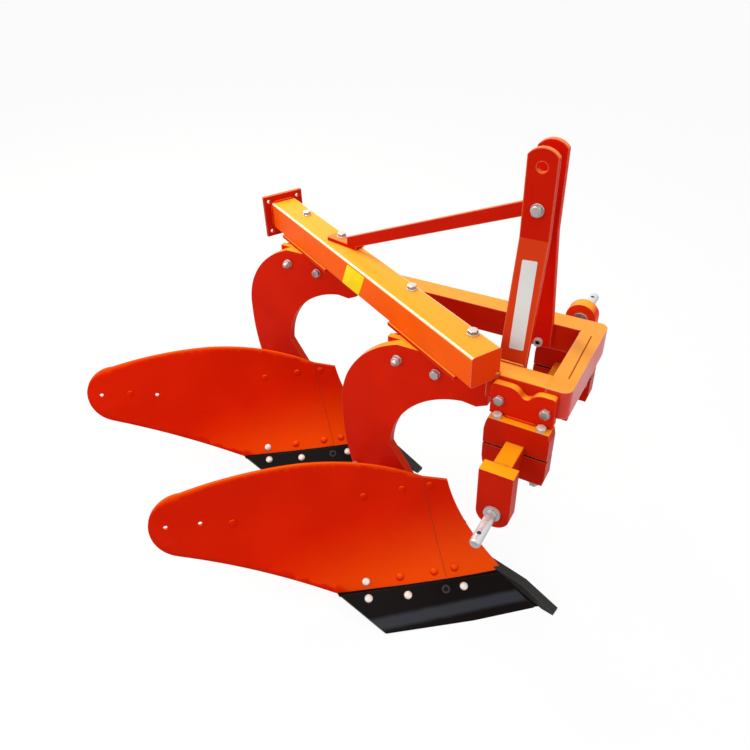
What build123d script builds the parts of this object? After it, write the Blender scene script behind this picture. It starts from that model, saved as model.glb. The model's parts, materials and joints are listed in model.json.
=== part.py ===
from build123d import *
import os
from math import cos, radians, sin, tan

# Two-furrow mounted mouldboard plough, right-hand turning, millimetres.
# X points forward along the travel, Y to the left, Z up from the ground.

# Driving dimensions of the beam and of the hitch frame
BEAM_ANGLE = 29.0
BEAM_SIZE = 90.0
BEAM_WALL = 8.0
BEAM_TAIL = 73.0
BEAM_TOP = 800.0
BEAM_FRONT_X = 503.0
BEAM_FRONT_Y = -52.0
END_PLATE_SIZE = 144.0
END_PLATE_THICK = 12.0
END_PLATE_DROP = 2.0
END_HOLE_PITCH = 108.0
END_HOLE_DIAMETER = 13.0

HITCH_X = 598.0
HITCH_Y = 153.0
FRAME_FRONT = 705.0
FRAME_WIDTH = 344.0
FRAME_DROP = 78.0
RAIL_WIDTH = 60.0
RAIL_DEPTH = 80.0
RAIL_WALL = 6.0
RAIL_REAR = 494.0
RAIL_LAP = 20.0
CORNER_RADIUS = 24.0

# Mast legs and the flat stay that braces them
LEG_THICK = 14.0
LEG_WIDTH = 72.0
LEG_GAP = 52.0
LEG_CENTRE_X = 536.0
MAST_TOP = 1242.0
TOP_BORE_DIAMETER = 25.4
TOP_BORE_DROP = 43.0
MAST_BOLT_DIAMETER = 20.0
MAST_BOLT_Z = 1100.0
BOLT_CLEARANCE = 0.3
MAST_BEND_Z = 1028.0
MAST_KNEE_Z = 716.0
MAST_FOOT_Z = 650.0
STAY_THICK = 12.0
STAY_HEIGHT = 35.0
STAY_BOLT_ALONG = 745.0
STAY_FOOT_WIDTH = 36.0
STAY_FOOT_BACK = 22.0
STAY_FOOT_FRONT = 98.0
STAY_FOLD = 62.0
STAY_TAIL = 20.0

# Cross shaft, its clamps, cranks and pins
SHAFT_Z = 533.0
SHAFT_SIZE = 50.0
SHAFT_CLEARANCE = 0.4
CRANK_THROW = 103.0
CRANK_REACH = 5.0
CRANK_WIDTH = 89.0
CRANK_THICK = 38.0
CRANK_HEAD = 29.0
PIN_SPREAD = 683.0
PIN_DIAMETER = 28.4
PIN_SHANK_DIAMETER = 24.0
PIN_DISC_DIAMETER = 47.0
PIN_DISC_THICK = 6.0
PIN_CHAMFER = 3.0
PIN_LENGTH = 114.0
PIN_COLLAR_DIAMETER = 44.0
PIN_COLLAR_THICK = 8.0
LINCHPIN_DIAMETER = 11.5
LINCHPIN_FROM_TIP = 28.0
SADDLE_THICK = 20.0
SADDLE_WIDTH = 164.0
SADDLE_TOP_DROP = 13.0
SADDLE_DIP = 24.0
SADDLE_DIP_HALF = 45.0
SADDLE_DIP_AHEAD = 7.0
SADDLE_CORNER = 12.0
CLAMP_WIDTH = 171.0
CLAMP_THICK = 44.0
CLAMP_TOP = 617.0
CLAMP_BOTTOM = 449.0
CLAMP_SPLIT_GAP = 6.0
CLAMP_BOLT_PITCH = 114.0
CLAMP_BOLT_OUT = 31.5
CLAMP_BOLT_DIAMETER = 16.0
NUT_HEIGHT = 12.0

# Plough bodies, both alike, one behind the other along the beam
BODY_SPACING = 685.0
BRACKET_ALONG = 217.0
BRACKET_LENGTH = 310.0
BRACKET_WIDTH = 96.0
BRACKET_THICK = 10.0
LUG_THICK = 18.0
SHANK_THICK = 26.0
SHANK_Y = 12.0
PLATE_THICK = 8.0
SHARE_THICK = 12.0
SHARE_ANGLE = 42.0
FROG_THICK = 18.0
FROG_WEB_THICK = 44.0
LANDSIDE_THICK = 12.0

# Places that follow from the driving dimensions
BEAM_LENGTH = BRACKET_ALONG + BODY_SPACING + BRACKET_LENGTH / 2 + BEAM_TAIL
ALONG = Vector(-cos(radians(BEAM_ANGLE)), sin(radians(BEAM_ANGLE)), 0)
ACROSS = Vector(sin(radians(BEAM_ANGLE)), cos(radians(BEAM_ANGLE)), 0)
BEAM_MID = BEAM_TOP - BEAM_SIZE / 2
BEAM_BOTTOM = BEAM_TOP - BEAM_SIZE
BEAM_START = Vector(BEAM_FRONT_X, BEAM_FRONT_Y, BEAM_MID)
FRAME_TOP = BEAM_TOP - FRAME_DROP
FRAME_BOTTOM = FRAME_TOP - RAIL_DEPTH
RIGHT_OUTER = HITCH_Y - FRAME_WIDTH / 2
LEFT_OUTER = HITCH_Y + FRAME_WIDTH / 2
RAIL_MID_Z = FRAME_TOP - RAIL_DEPTH / 2


def along_beam(distance, z):
    """Point on the beam's centre line, a distance behind its front end."""
    spot = BEAM_START + ALONG * distance
    return (spot.X, spot.Y, z)


# Beam
BEAM_PLANE = Plane(origin=BEAM_START, x_dir=ACROSS, z_dir=ALONG)
with BuildPart() as main_beam:
    with BuildSketch(BEAM_PLANE):
        RectangleRounded(BEAM_SIZE, BEAM_SIZE, BEAM_WALL)
        RectangleRounded(BEAM_SIZE - 2 * BEAM_WALL, BEAM_SIZE - 2 * BEAM_WALL, 3, mode=Mode.SUBTRACT)
    extrude(amount=BEAM_LENGTH)
    with BuildSketch(BEAM_PLANE):
        RectangleRounded(BEAM_SIZE, BEAM_SIZE, BEAM_WALL)
    extrude(amount=BEAM_WALL)
main_beam.part.label = "main_beam"

with BuildPart() as beam_end_plate:
    with BuildSketch(BEAM_PLANE.offset(BEAM_LENGTH)) as plate_face:
        with Locations((0, END_PLATE_DROP)):
            Rectangle(END_PLATE_SIZE, END_PLATE_SIZE)
            with GridLocations(END_HOLE_PITCH, END_HOLE_PITCH, 2, 2):
                Circle(END_HOLE_DIAMETER / 2, mode=Mode.SUBTRACT)
    extrude(amount=END_PLATE_THICK)
beam_end_plate.part.label = "beam_end_plate"

# Hitch frame: two side rails and a front bar of rectangular tube
LEFT_RAIL_INNER = LEFT_OUTER - RAIL_WIDTH


def beam_line_x(y, offset):
    """Where a line parallel to the beam, offset to its left, crosses a given y."""
    distance = (y - BEAM_FRONT_Y - offset * ACROSS.Y) / ALONG.Y
    return BEAM_FRONT_X + distance * ALONG.X + offset * ACROSS.X


with BuildPart() as frame_rail_right:
    with BuildSketch(Plane.YZ.offset(RAIL_REAR)):
        with Locations((RIGHT_OUTER + RAIL_WIDTH / 2, RAIL_MID_Z)):
            RectangleRounded(RAIL_WIDTH, RAIL_DEPTH, RAIL_WALL)
            RectangleRounded(RAIL_WIDTH - 2 * RAIL_WALL, RAIL_DEPTH - 2 * RAIL_WALL, 2, mode=Mode.SUBTRACT)
    extrude(amount=FRAME_FRONT - RAIL_WIDTH - RAIL_REAR)
    with BuildSketch(BEAM_PLANE, mode=Mode.PRIVATE) as beam_outline:
        Rectangle(BEAM_SIZE, BEAM_SIZE)
    extrude(beam_outline.sketch, amount=BEAM_LENGTH, mode=Mode.SUBTRACT)
frame_rail_right.part.label = "frame_rail_right"

with BuildPart() as frame_rail_left:
    with BuildSketch(Plane.XY.offset(FRAME_BOTTOM)):
        with BuildLine():
            Polyline(
                (FRAME_FRONT - RAIL_WIDTH, LEFT_RAIL_INNER),
                (FRAME_FRONT - RAIL_WIDTH, LEFT_OUTER),
                (beam_line_x(LEFT_OUTER, RAIL_LAP), LEFT_OUTER),
                (beam_line_x(LEFT_RAIL_INNER, RAIL_LAP), LEFT_RAIL_INNER),
                close=True,
            )
        make_face()
    extrude(amount=RAIL_DEPTH)
    with BuildSketch(Plane.YZ.offset(beam_line_x(LEFT_RAIL_INNER, RAIL_LAP) + RAIL_WALL)):
        with Locations((LEFT_OUTER - RAIL_WIDTH / 2, RAIL_MID_Z)):
            Rectangle(RAIL_WIDTH - 2 * RAIL_WALL, RAIL_DEPTH - 2 * RAIL_WALL)
    extrude(amount=2 * FRAME_FRONT, mode=Mode.SUBTRACT)
    extrude(beam_outline.sketch, amount=BEAM_LENGTH, mode=Mode.SUBTRACT)
frame_rail_left.part.label = "frame_rail_left"

with BuildPart() as frame_front_bar:
    with Locations((FRAME_FRONT - RAIL_WIDTH / 2, HITCH_Y, RAIL_MID_Z)):
        Box(RAIL_WIDTH, FRAME_WIDTH, RAIL_DEPTH)
    fillet(frame_front_bar.edges().filter_by(Axis.Z).group_by(Axis.X)[-1], CORNER_RADIUS)
    with Locations((FRAME_FRONT - RAIL_WIDTH / 2, HITCH_Y, RAIL_MID_Z)):
        Box(RAIL_WIDTH - 2 * RAIL_WALL, FRAME_WIDTH - 2 * RAIL_WIDTH, RAIL_DEPTH - 2 * RAIL_WALL, mode=Mode.SUBTRACT)
frame_front_bar.part.label = "frame_front_bar"

# Mast: two cranked flat legs, closer together at the top
TOP_HALF = LEG_GAP / 2
FOOT_HALF = FRAME_WIDTH / 2 - RAIL_WIDTH - LEG_THICK


def mast_leg_solid(side):
    """One mast leg, side -1 for the right one and +1 for the left one."""
    with BuildPart() as leg:
        with BuildSketch(Plane.YZ.offset(LEG_CENTRE_X - LEG_WIDTH / 2)):
            with BuildLine():
                Polyline(
                    (HITCH_Y + side * TOP_HALF, MAST_TOP),
                    (HITCH_Y + side * TOP_HALF, MAST_BEND_Z),
                    (HITCH_Y + side * FOOT_HALF, MAST_KNEE_Z),
                    (HITCH_Y + side * FOOT_HALF, MAST_FOOT_Z),
                    (HITCH_Y + side * (FOOT_HALF + LEG_THICK), MAST_FOOT_Z),
                    (HITCH_Y + side * (FOOT_HALF + LEG_THICK), MAST_KNEE_Z),
                    (HITCH_Y + side * (TOP_HALF + LEG_THICK), MAST_BEND_Z),
                    (HITCH_Y + side * (TOP_HALF + LEG_THICK), MAST_TOP),
                    close=True,
                )
            make_face()
        extrude(amount=LEG_WIDTH)
        with BuildSketch(Plane.XZ.offset(-HITCH_Y)):
            with BuildLine():
                shoulder = MAST_TOP - LEG_WIDTH / 4
                Line((LEG_CENTRE_X - LEG_WIDTH / 2, MAST_FOOT_Z), (LEG_CENTRE_X - LEG_WIDTH / 2, shoulder))
                ThreePointArc(
                    (LEG_CENTRE_X - LEG_WIDTH / 2, shoulder),
                    (LEG_CENTRE_X, MAST_TOP),
                    (LEG_CENTRE_X + LEG_WIDTH / 2, shoulder),
                )
                Line((LEG_CENTRE_X + LEG_WIDTH / 2, shoulder), (LEG_CENTRE_X + LEG_WIDTH / 2, MAST_FOOT_Z))
                Line((LEG_CENTRE_X + LEG_WIDTH / 2, MAST_FOOT_Z), (LEG_CENTRE_X - LEG_WIDTH / 2, MAST_FOOT_Z))
            make_face()
            with Locations((LEG_CENTRE_X, MAST_TOP - TOP_BORE_DROP)):
                Circle(TOP_BORE_DIAMETER / 2, mode=Mode.SUBTRACT)
            with Locations((LEG_CENTRE_X, MAST_BOLT_Z)):
                Circle(MAST_BOLT_DIAMETER / 2, mode=Mode.SUBTRACT)
        extrude(amount=FRAME_WIDTH, both=True, mode=Mode.INTERSECT)
    return leg.part


mast_leg_right = mast_leg_solid(-1)
mast_leg_right.label = "mast_leg_right"
mast_leg_left = mast_leg_solid(1)
mast_leg_left.label = "mast_leg_left"

with BuildPart() as mast_bolt:
    with BuildSketch(Plane.XZ.offset(-HITCH_Y)):
        with Locations((LEG_CENTRE_X, MAST_BOLT_Z)):
            Circle(MAST_BOLT_DIAMETER / 2)
    extrude(amount=TOP_HALF + LEG_THICK, both=True)
    for end in (-1, 1):
        with BuildSketch(Plane.XZ.offset(-HITCH_Y - end * (TOP_HALF + LEG_THICK))):
            with Locations((LEG_CENTRE_X, MAST_BOLT_Z)):
                RegularPolygon(MAST_BOLT_DIAMETER * 0.87, 6)
        extrude(amount=-end * MAST_BOLT_DIAMETER * 0.6)
mast_bolt.part.label = "mast_bolt"

# Flat stay on edge from the mast bolt down to a foot plate on the beam
STAY_START = Vector(*along_beam(STAY_BOLT_ALONG, BEAM_TOP)) - Vector(0, (STAY_FOOT_WIDTH - STAY_THICK) / 2, 0)
STAY_PLAN = Vector(LEG_CENTRE_X, HITCH_Y, BEAM_TOP) - STAY_START
STAY_RUN = STAY_PLAN.length
STAY_PLANE = Plane(origin=STAY_START, x_dir=STAY_PLAN, z_dir=STAY_PLAN.cross(Vector(0, 0, 1)))
STAY_RISE = MAST_BOLT_Z - BEAM_TOP
STAY_HALF = STAY_HEIGHT / 2 / cos(radians(24))
STAY_LOW = STAY_THICK + STAY_HALF
STAY_SLOPE = (STAY_RISE - STAY_LOW) / (STAY_RUN - STAY_FOOT_FRONT)
with BuildPart() as stay_bar:
    with BuildSketch(STAY_PLANE):
        head_z = STAY_RISE + STAY_TAIL * STAY_SLOPE
        fold_z = STAY_LOW - (STAY_FOOT_FRONT - STAY_FOLD) * STAY_SLOPE
        with BuildLine():
            Polyline((STAY_FOLD, 0), (STAY_FOOT_FRONT, 0), (STAY_FOOT_FRONT, STAY_THICK),
                     (STAY_RUN + STAY_TAIL, head_z - STAY_HALF), (STAY_RUN + STAY_TAIL, head_z + STAY_HALF),
                     (STAY_FOLD, fold_z + STAY_HALF), close=True)
        make_face()
    extrude(amount=STAY_THICK / 2, both=True)
    with BuildSketch(STAY_PLANE.offset(STAY_THICK / 2)):
        with BuildLine():
            Polyline((-STAY_FOOT_BACK, 0), (STAY_FOOT_FRONT, 0), (STAY_FOOT_FRONT, STAY_THICK),
                     (-STAY_FOOT_BACK, STAY_THICK), close=True)
        make_face()
    extrude(amount=-STAY_FOOT_WIDTH)
    with BuildSketch(Plane.XZ.offset(-HITCH_Y)):
        with Locations((LEG_CENTRE_X, MAST_BOLT_Z)):
            Circle(MAST_BOLT_DIAMETER / 2 + BOLT_CLEARANCE)
    extrude(amount=LEG_GAP, both=True, mode=Mode.SUBTRACT)
stay_bar.part.label = "stay_bar"

# Cross shaft with its cranks and hitch pins
CRANK_INNER = PIN_SPREAD / 2 - CRANK_THICK
with BuildPart() as cross_shaft:
    with BuildSketch(Plane.XZ.offset(-HITCH_Y)):
        with Locations((HITCH_X, SHAFT_Z)):
            RectangleRounded(SHAFT_SIZE, SHAFT_SIZE, 5)
    extrude(amount=CRANK_INNER, both=True)
cross_shaft.part.label = "cross_shaft"


def crank_solid(side, up):
    """One crank plate, side -1 right and +1 left, up -1 hanging and +1 standing."""
    face = Plane(origin=(HITCH_X, HITCH_Y + side * CRANK_INNER, SHAFT_Z), x_dir=(1, 0, 0), z_dir=(0, side, 0))
    rise = side * up * -1
    half = CRANK_WIDTH / 2
    round_at = CRANK_THROW + CRANK_REACH
    with BuildPart() as crank:
        with BuildSketch(face):
            with BuildLine():
                Polyline((-half, rise * round_at), (-half, -rise * CRANK_HEAD), (half, -rise * CRANK_HEAD),
                         (half, rise * round_at))
                ThreePointArc((half, rise * round_at), (0, rise * (round_at + half)), (-half, rise * round_at))
            make_face()
            with Locations((0, rise * CRANK_THROW)):
                Circle(PIN_SHANK_DIAMETER / 2, mode=Mode.SUBTRACT)
        extrude(amount=CRANK_THICK)
    return crank.part


def pin_solid(side, up):
    """One hitch pin: disc and shank in its crank, collar and working length outside it."""
    height = SHAFT_Z + up * CRANK_THROW
    steps = (
        (CRANK_INNER - PIN_DISC_THICK, CRANK_INNER, PIN_DISC_DIAMETER),
        (CRANK_INNER, PIN_SPREAD / 2, PIN_SHANK_DIAMETER),
        (PIN_SPREAD / 2, PIN_SPREAD / 2 + PIN_COLLAR_THICK, PIN_COLLAR_DIAMETER),
        (PIN_SPREAD / 2 + PIN_COLLAR_THICK, PIN_SPREAD / 2 + PIN_LENGTH, PIN_DIAMETER),
    )
    with BuildPart() as pin:
        for start, stop, diameter in steps:
            with BuildSketch(Plane.XZ.offset(-HITCH_Y - side * start)):
                with Locations((HITCH_X, height)):
                    Circle(diameter / 2)
            extrude(amount=-side * (stop - start))
        chamfer(pin.faces().sort_by(Axis.Y)[0 if side < 0 else -1].edges(), PIN_CHAMFER)
        hole_y = HITCH_Y + side * (PIN_SPREAD / 2 + PIN_LENGTH - LINCHPIN_FROM_TIP)
        with Locations((HITCH_X, hole_y, height)):
            Cylinder(LINCHPIN_DIAMETER / 2, PIN_DIAMETER * 2, mode=Mode.SUBTRACT)
    return pin.part


crank_right = crank_solid(-1, -1)
crank_right.label = "crank_right"
crank_left = crank_solid(1, 1)
crank_left.label = "crank_left"
hitch_pin_right = pin_solid(-1, -1)
hitch_pin_right.label = "hitch_pin_right"
hitch_pin_left = pin_solid(1, 1)
hitch_pin_left.label = "hitch_pin_left"

# Saddle plates and split clamps that carry the shaft under the rails
SPLIT_Z = SHAFT_Z - 1
CLAMP_BULGE = 9.0
BORE = SHAFT_SIZE + 2 * SHAFT_CLEARANCE


def saddle_solid(side):
    """Plate on the outer face of a rail, its top edge dished, welded to the clamp."""
    outer = HITCH_Y + side * FRAME_WIDTH / 2
    top = FRAME_TOP - SADDLE_TOP_DROP
    rear = HITCH_X - SADDLE_WIDTH / 2
    front = HITCH_X + SADDLE_WIDTH / 2
    dip_x = HITCH_X + SADDLE_DIP_AHEAD
    with BuildPart() as saddle:
        with BuildSketch(Plane.XZ.offset(-outer)):
            with BuildLine():
                Spline((dip_x - SADDLE_DIP_HALF, top), (dip_x, top - SADDLE_DIP), (dip_x + SADDLE_DIP_HALF, top),
                       tangents=((1, 0), (1, 0), (1, 0)))
                FilletPolyline((dip_x + SADDLE_DIP_HALF, top), (front, top), (front, CLAMP_TOP),
                               (rear, CLAMP_TOP), radius=SADDLE_CORNER)
                FilletPolyline((rear, CLAMP_TOP), (rear, top), (dip_x - SADDLE_DIP_HALF, top),
                               radius=SADDLE_CORNER)
            make_face()
        extrude(amount=-side * SADDLE_THICK)
    return saddle.part


def clamp_solid(side, upper):
    """Half of a split clamp, upper or lower, notched for the square shaft."""
    outer = HITCH_Y + side * FRAME_WIDTH / 2
    rear = HITCH_X - CLAMP_WIDTH / 2
    front = HITCH_X + CLAMP_WIDTH / 2
    split = SPLIT_Z + CLAMP_SPLIT_GAP / 2 if upper else SPLIT_Z - CLAMP_SPLIT_GAP / 2
    end = CLAMP_TOP if upper else CLAMP_BOTTOM
    step = (end - split) / 4
    with BuildPart() as clamp:
        with BuildSketch(Plane.XZ.offset(-outer)):
            with BuildLine():
                Polyline((rear, split), (front, split), (front, end - step), (front - CLAMP_BULGE / 2, end),
                         (rear + CLAMP_BULGE, end))
                ThreePointArc((rear + CLAMP_BULGE, end), (rear + CLAMP_BULGE / 3, end - step), (rear, end - 2 * step))
                Line((rear, end - 2 * step), (rear, split))
            make_face()
            with Locations((HITCH_X, SHAFT_Z)):
                Rectangle(BORE, BORE, mode=Mode.SUBTRACT)
        extrude(amount=-side * CLAMP_THICK)
        with BuildSketch(Plane.XY.offset(CLAMP_BOTTOM)):
            with Locations((HITCH_X, outer + side * CLAMP_BOLT_OUT)):
                with GridLocations(CLAMP_BOLT_PITCH, 1, 2, 1):
                    Circle(CLAMP_BOLT_DIAMETER / 2)
        extrude(amount=CLAMP_TOP - CLAMP_BOTTOM, mode=Mode.SUBTRACT)
    return clamp.part


saddle_right = saddle_solid(-1)
saddle_right.label = "saddle_right"
saddle_left = saddle_solid(1)
saddle_left.label = "saddle_left"
clamp_upper_right = clamp_solid(-1, True)
clamp_upper_right.label = "clamp_upper_right"
clamp_upper_left = clamp_solid(1, True)
clamp_upper_left.label = "clamp_upper_left"
clamp_lower_right = clamp_solid(-1, False)
clamp_lower_right.label = "clamp_lower_right"
clamp_lower_left = clamp_solid(1, False)
clamp_lower_left.label = "clamp_lower_left"

# Studs that draw the two halves of each clamp together
def clamp_studs(side):
    """Two upright studs through both halves of a clamp, nuts at their lower ends."""
    middle = HITCH_Y + side * (FRAME_WIDTH / 2 + CLAMP_BOLT_OUT)
    with BuildPart() as studs:
        with BuildSketch(Plane.XY.offset(CLAMP_BOTTOM - NUT_HEIGHT)):
            with Locations((HITCH_X, middle)):
                with GridLocations(CLAMP_BOLT_PITCH, 1, 2, 1):
                    RegularPolygon(CLAMP_BOLT_DIAMETER * 0.83, 6)
        extrude(amount=NUT_HEIGHT)
        with BuildSketch(Plane.XY.offset(CLAMP_BOTTOM - NUT_HEIGHT)):
            with Locations((HITCH_X, middle)):
                with GridLocations(CLAMP_BOLT_PITCH, 1, 2, 1):
                    Circle(CLAMP_BOLT_DIAMETER / 2)
        extrude(amount=CLAMP_TOP - CLAMP_BOTTOM + NUT_HEIGHT)
    return studs.part


clamp_studs_right = clamp_studs(-1)
clamp_studs_right.label = "clamp_studs_right"
clamp_studs_left = clamp_studs(1)
clamp_studs_left.label = "clamp_studs_left"

# Plough body, drawn where the front one stands
BODY_X = 480.0
BODY_Y = -92.0
EDGE = Vector(cos(radians(SHARE_ANGLE)), sin(radians(SHARE_ANGLE)), 0)
FACE = Vector(sin(radians(SHARE_ANGLE)), -cos(radians(SHARE_ANGLE)), 0)
BODY_DATUM = Vector(BODY_X, BODY_Y, 0)

# Stations along the cutting edge: place, then the face's foot, middle and head as (out, height)
STATIONS = (
    (130.0, (48.0, 50.0), (-66.0, 160.0), (-152.0, 300.0)),
    (-280.0, (38.0, 50.0), (-92.0, 225.0), (-148.0, 420.0)),
    (-600.0, (10.0, 50.0), (-98.0, 285.0), (-130.0, 450.0)),
    (-870.0, (-5.0, 50.0), (-66.0, 320.0), (-96.0, 450.0)),
)


def station_plane(place):
    """Upright plane square to the cutting edge, drawn in (out, height)."""
    return Plane(origin=BODY_DATUM + EDGE * place, x_dir=FACE, z_dir=FACE.cross(Vector(0, 0, 1)))


def face_sections(front, back):
    """Sections of a curved plate between two depths behind the working face."""
    sections = []
    for place, foot, middle, head in STATIONS:
        near = [(x - front, z) for x, z in (foot, middle, head)]
        far = [(x - back, z) for x, z in (foot, middle, head)]
        with BuildSketch(station_plane(place), mode=Mode.PRIVATE) as section:
            with BuildLine():
                ThreePointArc(*near)
                Line(near[2], far[2])
                ThreePointArc(far[2], far[1], far[0])
                Line(far[0], near[0])
            make_face()
        sections.append(section.sketch)
    return sections


VIEW = Plane(origin=BODY_DATUM, x_dir=EDGE, z_dir=FACE)
SEAM_TOP = (-78.0, 305.0)
SEAM_FOOT = (-50.0, 56.0)
SHIN_TOP = (-3.0, 280.0)
SHIN_FOOT = (118.0, 53.0)

with BuildPart() as mouldboard:
    loft(face_sections(0, PLATE_THICK))
    with BuildSketch(VIEW):
        with BuildLine():
            ThreePointArc(SEAM_TOP, (-240, 381), (-430, 427))
            ThreePointArc((-430, 427), (-600, 434), (-745, 424))
            ThreePointArc((-745, 424), (-814, 402), (-840, 355))
            ThreePointArc((-840, 355), (-833, 298), (-784, 243))
            ThreePointArc((-784, 243), (-562, 136), (-372, 60))
            Line((-372, 60), SEAM_FOOT)
            Line(SEAM_FOOT, SEAM_TOP)
        make_face()
    extrude(amount=400, both=True, mode=Mode.INTERSECT)

with BuildPart() as shin:
    loft(face_sections(0, PLATE_THICK))
    with BuildSketch(VIEW):
        with BuildLine():
            Line(SEAM_TOP, SHIN_TOP)
            ThreePointArc(SHIN_TOP, (35, 163), SHIN_FOOT)
            Line(SHIN_FOOT, SEAM_FOOT)
            Line(SEAM_FOOT, SEAM_TOP)
        make_face()
    extrude(amount=400, both=True, mode=Mode.INTERSECT)

# Share: a flat bevelled plate below the mouldboard, set a little across its stations
SHARE_TOP_OUT = 52.5
SHARE_TOP_Z = 55.0
SHARE_FOOT_OUT = 158.4
SHARE_TURN = 0.051
SHARE_FALL = 0.027
SHARE_RUN = (EDGE + FACE * SHARE_TURN - Vector(0, 0, SHARE_FALL)).normalized()
SHARE_DROP = FACE * (SHARE_FOOT_OUT - SHARE_TOP_OUT) - Vector(0, 0, SHARE_TOP_Z)
SHARE_LENGTH = SHARE_DROP.length
SHARE_PLANE = Plane(
    origin=BODY_DATUM + FACE * SHARE_TOP_OUT + Vector(0, 0, SHARE_TOP_Z),
    x_dir=SHARE_RUN, z_dir=SHARE_RUN.cross(SHARE_DROP),
)
with BuildPart() as share:
    with BuildSketch(SHARE_PLANE):
        with BuildLine():
            Polyline((-365, 0), (108, 0), (192, SHARE_LENGTH), (-250, SHARE_LENGTH), close=True)
        make_face()
    extrude(amount=SHARE_THICK)
    with Locations((BODY_X, BODY_Y, -100)):
        Box(2000, 2000, 200, mode=Mode.SUBTRACT)

# Bar point beside the share, drawn from its tip backwards
BAR_WIDTH = 27.0
BAR_TURN = 9.6
BAR_BACK = Vector(-cos(radians(BAR_TURN)), sin(radians(BAR_TURN)), 0)
BAR_TIP = BODY_DATUM + Vector(293, 1, 0)
with BuildPart() as bar_point:
    with BuildSketch(Plane(origin=BAR_TIP, x_dir=BAR_BACK, z_dir=BAR_BACK.cross(Vector(0, 0, 1)))):
        with BuildLine():
            Polyline((0, 0), (0, 8), (106, 52), (236, 63), (236, 38), (114, 26), (36, 0), close=True)
        make_face()
    extrude(amount=BAR_WIDTH)
    add(share.part, mode=Mode.SUBTRACT)
    add(shin.part, mode=Mode.SUBTRACT)

# Leg: a swan-necked plate from the beam bracket to the frog
LEG_FACE_Y = SHANK_Y
LEG_TOP = BEAM_BOTTOM - BRACKET_THICK
with BuildPart() as leg:
    with BuildSketch(Plane.XZ.offset(-LEG_FACE_Y)):
        with BuildLine():
            Line((BODY_X + 12, LEG_TOP), (BODY_X - 255, LEG_TOP))
            ThreePointArc((BODY_X - 255, LEG_TOP), (BODY_X - 393, 600), (BODY_X - 447, 430))
            ThreePointArc((BODY_X - 447, 430), (BODY_X - 446, 330), (BODY_X - 425, 200))
            Polyline((BODY_X - 425, 200), (BODY_X - 395, 70), (BODY_X - 125, 70), (BODY_X - 286, 330))
            ThreePointArc((BODY_X - 286, 330), (BODY_X - 222, 490), (BODY_X - 60, 578))
            Polyline((BODY_X - 60, 578), (BODY_X - 20, 574), (BODY_X + 12, 590), (BODY_X + 12, LEG_TOP))
        make_face()
    extrude(amount=-SHANK_THICK)

# Frog: curved block behind the face, with a web beside the leg's foot
with BuildPart() as frog:
    loft(face_sections(PLATE_THICK, PLATE_THICK + FROG_THICK))
    with BuildSketch(VIEW):
        with BuildLine():
            Polyline((-220, 60), (40, 60), (-35, 220), (-220, 220), close=True)
        make_face()
    extrude(amount=400, both=True, mode=Mode.INTERSECT)
    with BuildSketch(station_plane(-220)):
        with BuildLine():
            Polyline((28, 52), (96, 22), (96, 16), (-20, 16), (-20, 62), (15, 62), close=True)
        make_face()
    extrude(amount=-280)
    with BuildSketch(Plane.XZ.offset(-LEG_FACE_Y)):
        with BuildLine():
            Polyline((BODY_X - 330, 75), (BODY_X - 20, 75), (BODY_X - 40, 140), (BODY_X - 112, 225),
                     (BODY_X - 330, 225), close=True)
        make_face()
    extrude(amount=FROG_WEB_THICK)
    add(bar_point.part, mode=Mode.SUBTRACT)
    add(share.part, mode=Mode.SUBTRACT)

# Landside and mouldboard stay
with BuildPart() as landside:
    with BuildSketch(Plane.XZ.offset(-LEG_FACE_Y - SHANK_THICK)):
        with BuildLine():
            Polyline((BODY_X - 560, 0), (BODY_X - 40, 0), (BODY_X - 40, 80), (BODY_X - 90, 110),
                     (BODY_X - 500, 110), (BODY_X - 560, 70), close=True)
        make_face()
    extrude(amount=-LANDSIDE_THICK)

STAY_FROM = Vector(BODY_X - 430, LEG_FACE_Y - 2.5, 300)
STAY_TO = BODY_DATUM + EDGE * -560 + FACE * (-98.0 - PLATE_THICK - 8) + Vector(0, 0, 260)
with BuildPart() as wing_stay:
    with BuildSketch(Plane(origin=STAY_FROM, z_dir=STAY_TO - STAY_FROM)):
        Circle(11)
    extrude(amount=(STAY_TO - STAY_FROM).length)

# Beam bracket: flange under the beam and a lug down its middle
with BuildPart() as bracket:
    flange_mid = Vector(*along_beam(BRACKET_ALONG, BEAM_BOTTOM))
    with BuildSketch(Plane(origin=flange_mid, x_dir=ALONG, z_dir=(0, 0, -1))):
        Rectangle(BRACKET_LENGTH, BRACKET_WIDTH)
    extrude(amount=BRACKET_THICK)
    with BuildSketch(Plane.XZ.offset(-LEG_FACE_Y - SHANK_THICK)):
        with Locations((BODY_X - 205, BEAM_BOTTOM - BRACKET_THICK - 42)):
            Rectangle(186, 84)
    extrude(amount=-LUG_THICK)

BODY_PIECES = {
    "mouldboard": mouldboard, "shin": shin, "share": share, "bar_point": bar_point,
    "leg": leg, "frog": frog, "landside": landside, "wing_stay": wing_stay, "bracket": bracket,
}

# Plan shift that sets the origin under the middle of the whole plough
ORIGIN_SHIFT = Vector(12.444, -4.267, 0)

os.makedirs("parts", exist_ok=True)
for piece in (
    main_beam.part, beam_end_plate.part, frame_rail_right.part, frame_rail_left.part, frame_front_bar.part,
    mast_leg_right, mast_leg_left, mast_bolt.part, stay_bar.part, cross_shaft.part, crank_right, crank_left,
    hitch_pin_right, hitch_pin_left, saddle_right, saddle_left, clamp_upper_right, clamp_upper_left,
    clamp_lower_right, clamp_lower_left, clamp_studs_right, clamp_studs_left,
):
    placed = Pos(*ORIGIN_SHIFT) * piece
    placed.label = piece.label
    export_step(placed, f"parts/{placed.label}.step")

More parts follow.
